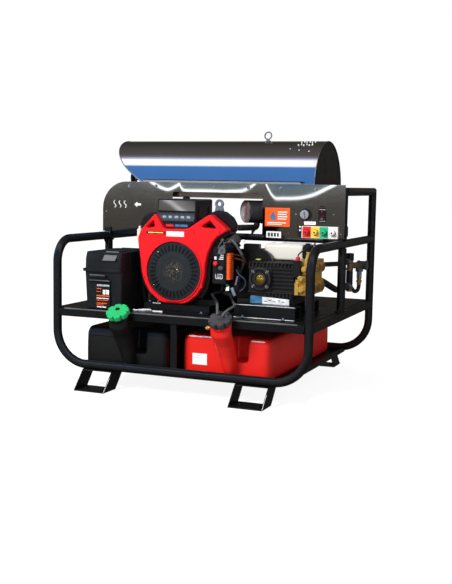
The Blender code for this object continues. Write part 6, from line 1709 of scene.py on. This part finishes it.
def battery_box():
    x0, x1, y0, y1 = -0.462, -0.276, -0.478, -0.2
    low, rim = SHELF_TOP + GAP, 0.52
    rings = []
    for inset, z in ((0.01, low), (0.006, low + 0.003), (0.0, rim), (0.003, rim), (0.009, low + 0.004)):
        rings.append(box_ring(x0 + inset, y0 + inset, x1 - inset, y1 - inset, z, 0.01))
    case = Shape().loft(rings)
    case.piece("battery_case", GRAIN, stands_for=["battery_box"], angle=50)
    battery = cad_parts["battery"]
    battery.data.materials.clear()
    battery.data.materials.append(BLACK[0])
    handle = Shape()
    handle.block((-0.434, y0 - 0.01, 0.493), (-0.352, y0 + 0.004, 0.506))
    handle.block((-0.438, y0 - 0.008, 0.476), (-0.33, y0 + 0.004, 0.482))
    handle.block((-0.434, y0 - 0.004, 0.482), (-0.34, y0 + 0.004, 0.493))
    handle.piece("battery_case_handle", GRAIN, bevel=0.002)
    # Grey lines along the handle's edges: painted highlights.
    gleam = Shape().pipe([(-0.431, y0 - 0.0085, 0.5045), (-0.355, y0 - 0.0085, 0.5045)], 0.0028, 8)
    gleam.pipe([(-0.436, y0 - 0.007, 0.481), (-0.333, y0 - 0.007, 0.481)], 0.0022, 8)
    gleam.piece("battery_handle_painted_highlights", EDGE_HIGHLIGHT_GREY)
    z = rim + GAP

    def ring(grow, level, front=0.0, right=0.0):
        return box_ring(x0 - grow, y0 - grow + front, x1 + grow - right, y1 + grow, level, 0.01)

    rings = [ring(-0.009, z + 0.08), ring(-0.006, z), ring(0.008, z, 0.0, 0.0105),
             ring(0.008, z + 0.0105, 0.0, 0.0105)]
    rings += [ring(0.0068, z + 0.0125, 0.0, 0.0095), ring(-0.0005, z + 0.0135, 0.0, 0.004),
              ring(-0.001, z + 0.052, 0.0, 0.004)]
    rings += [ring(-0.0015, z + 0.06, 0.0, 0.004)]
    rings += [ring(-0.004, z + 0.085, 0.003), ring(-0.007, z + 0.087, 0.005)]
    lid = Shape().loft(rings)
    lid.piece("battery_box_cover", GRAIN, "battery_cover", ["battery_lid"], angle=40)
    top = Shape()
    for k in range(6):
        yy = -0.43 + k * 0.036
        top.block((-0.4, yy, z + 0.086), (-0.3, yy + 0.012, z + 0.093))
    top.piece("battery_cover_ridges", GRAIN, "battery_cover", bevel=0.001)
    label = Shape()
    a, b = Vector((0, y0 - 0.006, z + 0.05)), Vector((0, y0 + 0.014, z + 0.09))
    out = (b - a).cross(RIGHT).normalized()
    out = -out if out.z < 0 else out
    quad = [Vector((x, 0, 0)) + p + out * h for h in (0.0004, 0.0014) for x, p in ((-0.37, a), (-0.308, a),
            (-0.298, b), (-0.36, b))]
    label.add(quad, BOX_FACES)
    wedge = Shape()
    back = [Vector((x, y0 + 0.02, level)) for x, level in ((-0.372, z + 0.046), (-0.304, z + 0.046),
            (-0.292, z + 0.0895), (-0.362, z + 0.0895))]
    face = [Vector((x, 0, 0)) + p for x, p in ((-0.372, a), (-0.304, a), (-0.292, b), (-0.362, b))]
    wedge.loft([face, back])
    wedge.piece("battery_cover_wedge", GRAIN, "battery_cover", bevel=0.001)
    label.piece("battery_cover_label", DIM_LABEL, "battery_cover")
    strap = Shape()
    for yy in (-0.452, -0.385, -0.32):
        path = [(-0.306, yy, z + 0.0865), (-0.29, yy, z + 0.087), (-0.284, yy, z + 0.074),
                (-0.2818, yy, z + 0.054), (-0.2812, yy, z + 0.015), (-0.2806, yy, z + 0.012),
                (-0.2806, yy, z + 0.001)]
        for p, q in zip(path, path[1:]):
            strap.loft([[Vector((r[0] + dx, r[1] + dy, r[2] + dz)) for dx, dy,
                         dz in ((0, -0.008, 0), (0, 0.008, 0), (0.0035, 0.008, 0.002),
                                (0.0035, -0.008, 0.002))] for r in (p, q)])
    strap.piece("battery_cover_ribs", GRAIN, "battery_cover", bevel=0.0008)
    y = y0 + 0.0015
    Shape().block((-0.402, y - 0.004, 0.356), (-0.332, y - 0.0022, 0.469)).piece("battery_tag_ground", BLACK)
    Shape().block((-0.398, y - 0.0046, 0.456), (-0.336, y - 0.0036, 0.464)).piece("battery_tag_blue",
        DIM_BLOCKS)
    reds, pales = Shape(), Shape()
    for zz, x1b, high in ((0.444, -0.376, 0.003), (0.431, -0.378, 0.0022), (0.411, -0.336, 0.0055),
                          (0.393, -0.342, 0.0028), (0.379, -0.348, 0.0035), (0.372, -0.362, 0.002)):
        reds.block((-0.4, y - 0.0046, zz), (x1b, y - 0.0036, zz + high))
    for x0b, x1b, zz, high in ((-0.368, -0.355, 0.421, 0.02), (-0.351, -0.338, 0.421, 0.02),
                               (-0.4, -0.338, 0.401, 0.0035), (-0.398, -0.352, 0.362, 0.0045)):
        pales.block((x0b, y - 0.0046, zz), (x1b, y - 0.0036, zz + high))
    reds.piece("battery_tag_red", ORANGE)
    pales.piece("battery_tag_white", WHITE)
    cable = Shape()
    cable.pipe(flowing([(-0.276, -0.23, 0.56), (-0.262, -0.225, 0.556), (-0.25, -0.225, 0.53),
                        (-0.246, -0.235, 0.46), (-0.24, -0.24, 0.39), (-0.215, -0.23, 0.368),
                        (-0.19, -0.2, 0.44)]), 0.0055, 12)
    cable.pipe(flowing([(-0.262, -0.215, 0.545), (-0.255, -0.21, 0.52), (-0.252, -0.22, 0.45),
                        (-0.235, -0.215, 0.385), (-0.21, -0.205, 0.365), (-0.185, -0.18, 0.43)]), 0.0045, 12)
    cable.pipe(flowing([(-0.258, -0.3, 0.655), (-0.264, -0.3, 0.56), (-0.262, -0.296, 0.45),
                        (-0.255, -0.29, 0.37)]), 0.0095, 12)
    cable.piece("battery_cables", RUBBER)


# ---- Studio ----


def studio():
    scene = bpy.context.scene
    scene.view_settings.view_transform = "Standard"
    floor_mesh = bpy.data.meshes.new("floor")
    floor_mesh.from_pydata([(-30, -30, -0.0005), (30, -30, -0.0005), (30, 30, -0.0005), (-30, 30, -0.0005)],
                           [], [(0, 1, 2, 3)])
    floor = bpy.data.objects.new("floor", floor_mesh)
    scene.collection.objects.link(floor)
    material = bpy.data.materials.new("floor")
    material.use_nodes = True
    shader = material.node_tree.nodes["Principled BSDF"]
    shader.inputs["Base Color"].default_value = (0.22, 0.22, 0.22, 1)
    shader.inputs["Roughness"].default_value = 0.9
    shader.inputs["Emission Color"].default_value = (1, 1, 1, 1)
    shader.inputs["Emission Strength"].default_value = 0.9
    floor_mesh.materials.append(material)
    floor.visible_glossy = False
    floor.visible_diffuse = False
    floor.visible_transmission = False
    world = bpy.data.worlds.new("studio")
    scene.world = world
    world.use_nodes = True
    n = Nodes(world.node_tree)
    for node in list(world.node_tree.nodes):
        world.node_tree.nodes.remove(node)
    way = n.add("ShaderNodeTexCoord").outputs["Generated"]
    _, y, z = parts_of(n, way)
    turn = n.maths("ARCTAN2", z, n.maths("MULTIPLY", y, -1.0))
    place = n.maths("ADD", n.maths("DIVIDE", turn, TAU), 0.5)
    # Each stop is a height round the sky, as a part of a whole turn, and the colour that it shines with.
    stops = [
        (0.0, (0.055, 0.05, 0.046)), (0.3, (0.03, 0.028, 0.026)), (0.44, (0.07, 0.066, 0.06)),
        (0.49, (0.105, 0.098, 0.088)),
        (0.5, (0.14, 0.135, 0.125)), (0.502, (2.4, 2.4, 2.4)), (0.504, (2.4, 2.4, 2.4)),
        (0.5062, (0.2, 0.23, 0.23)),
        (0.524, (0.15, 0.19, 0.205)), (0.533, (0.05, 0.14, 0.36)), (0.642, (0.05, 0.155, 0.4)),
        (0.654, (0.95, 0.96, 1.0)),
        (0.694, (1.0, 1.0, 1.0)), (0.703, (0.5, 0.47, 0.66)), (0.72, (0.14, 0.125, 0.17)),
        (0.74, (0.07, 0.062, 0.058)),
        (0.9, (0.028, 0.024, 0.021)), (1.0, (0.085, 0.075, 0.065)),
    ]
    sky = n.ramp(place, [(at, tuple(part / 3.0 for part in colour)) for at, colour in stops])
    path = n.add("ShaderNodeLightPath").outputs
    soft = n.add("ShaderNodeBackground", {"Color": (1, 1, 1, 1), "Strength": 0.55}).outputs[0]
    shine = n.add("ShaderNodeBackground", {"Color": sky, "Strength": 3.9}).outputs[0]
    white = n.add("ShaderNodeBackground", {"Color": (1, 1, 1, 1), "Strength": 1.0}).outputs[0]
    first = n.add("ShaderNodeMixShader", {0: path["Is Glossy Ray"], 1: soft, 2: shine}).outputs[0]
    both = n.add("ShaderNodeMixShader", {0: path["Is Camera Ray"], 1: first, 2: white}).outputs[0]
    n.add("ShaderNodeOutputWorld", {0: both})

    def light(name, place, target, size, power, glossy=True):
        data = bpy.data.lights.new(name, "AREA")
        data.shape, data.size, data.energy = "DISK", size, power
        obj = bpy.data.objects.new(name, data)
        obj.location = place
        obj.rotation_euler = (Vector(target) - Vector(place)).to_track_quat("-Z", "Y").to_euler()
        obj.visible_glossy = glossy
        scene.collection.objects.link(obj)

    light("key", (-2.6, -5.2, 4.4), (0, 0, 0.5), 2.4, 620, False)
    light("fill", (4.5, -4.5, 2.0), (0, 0, 0.5), 4.0, 60, False)

    azimuth, pitch, roll = math.radians(22.187), math.radians(-6.396), math.radians(0.985)
    ahead = Vector((-math.sin(azimuth) * math.cos(pitch), math.cos(azimuth) * math.cos(pitch),
                    math.sin(pitch)))
    right = Vector((math.cos(azimuth), math.sin(azimuth), 0))
    up = right.cross(ahead)
    across = right * math.cos(roll) + up * math.sin(roll)
    over = up * math.cos(roll) - right * math.sin(roll)
    camera = bpy.data.objects.new("camera", bpy.data.cameras.new("camera"))
    camera.data.lens, camera.data.sensor_width = 59.27, 36.0
    camera.data.clip_start, camera.data.clip_end = 0.1, 100.0
    place = SKID + Vector((1.7263, -4.1783, 0.9128))
    camera.matrix_world = Matrix((
        (across.x, over.x, -ahead.x, place.x), (across.y, over.y, -ahead.y, place.y),
        (across.z, over.z, -ahead.z, place.z), (0, 0, 0, 1)))
    scene.collection.objects.link(camera)
    scene.camera = camera


for make in (skid_frame, shelf_and_tray, feet, control_panel, nozzle_rack, coil_hood, coil_and_burner,
             fan_housing, engine_body,
             engine_shrouds, air_filter, engine_controls, exhaust, risers, belt_drive, belt_cover, pump,
             pump_head, water_side,
             tanks, battery_box, studio):
    make()

bpy.context.view_layer.update()
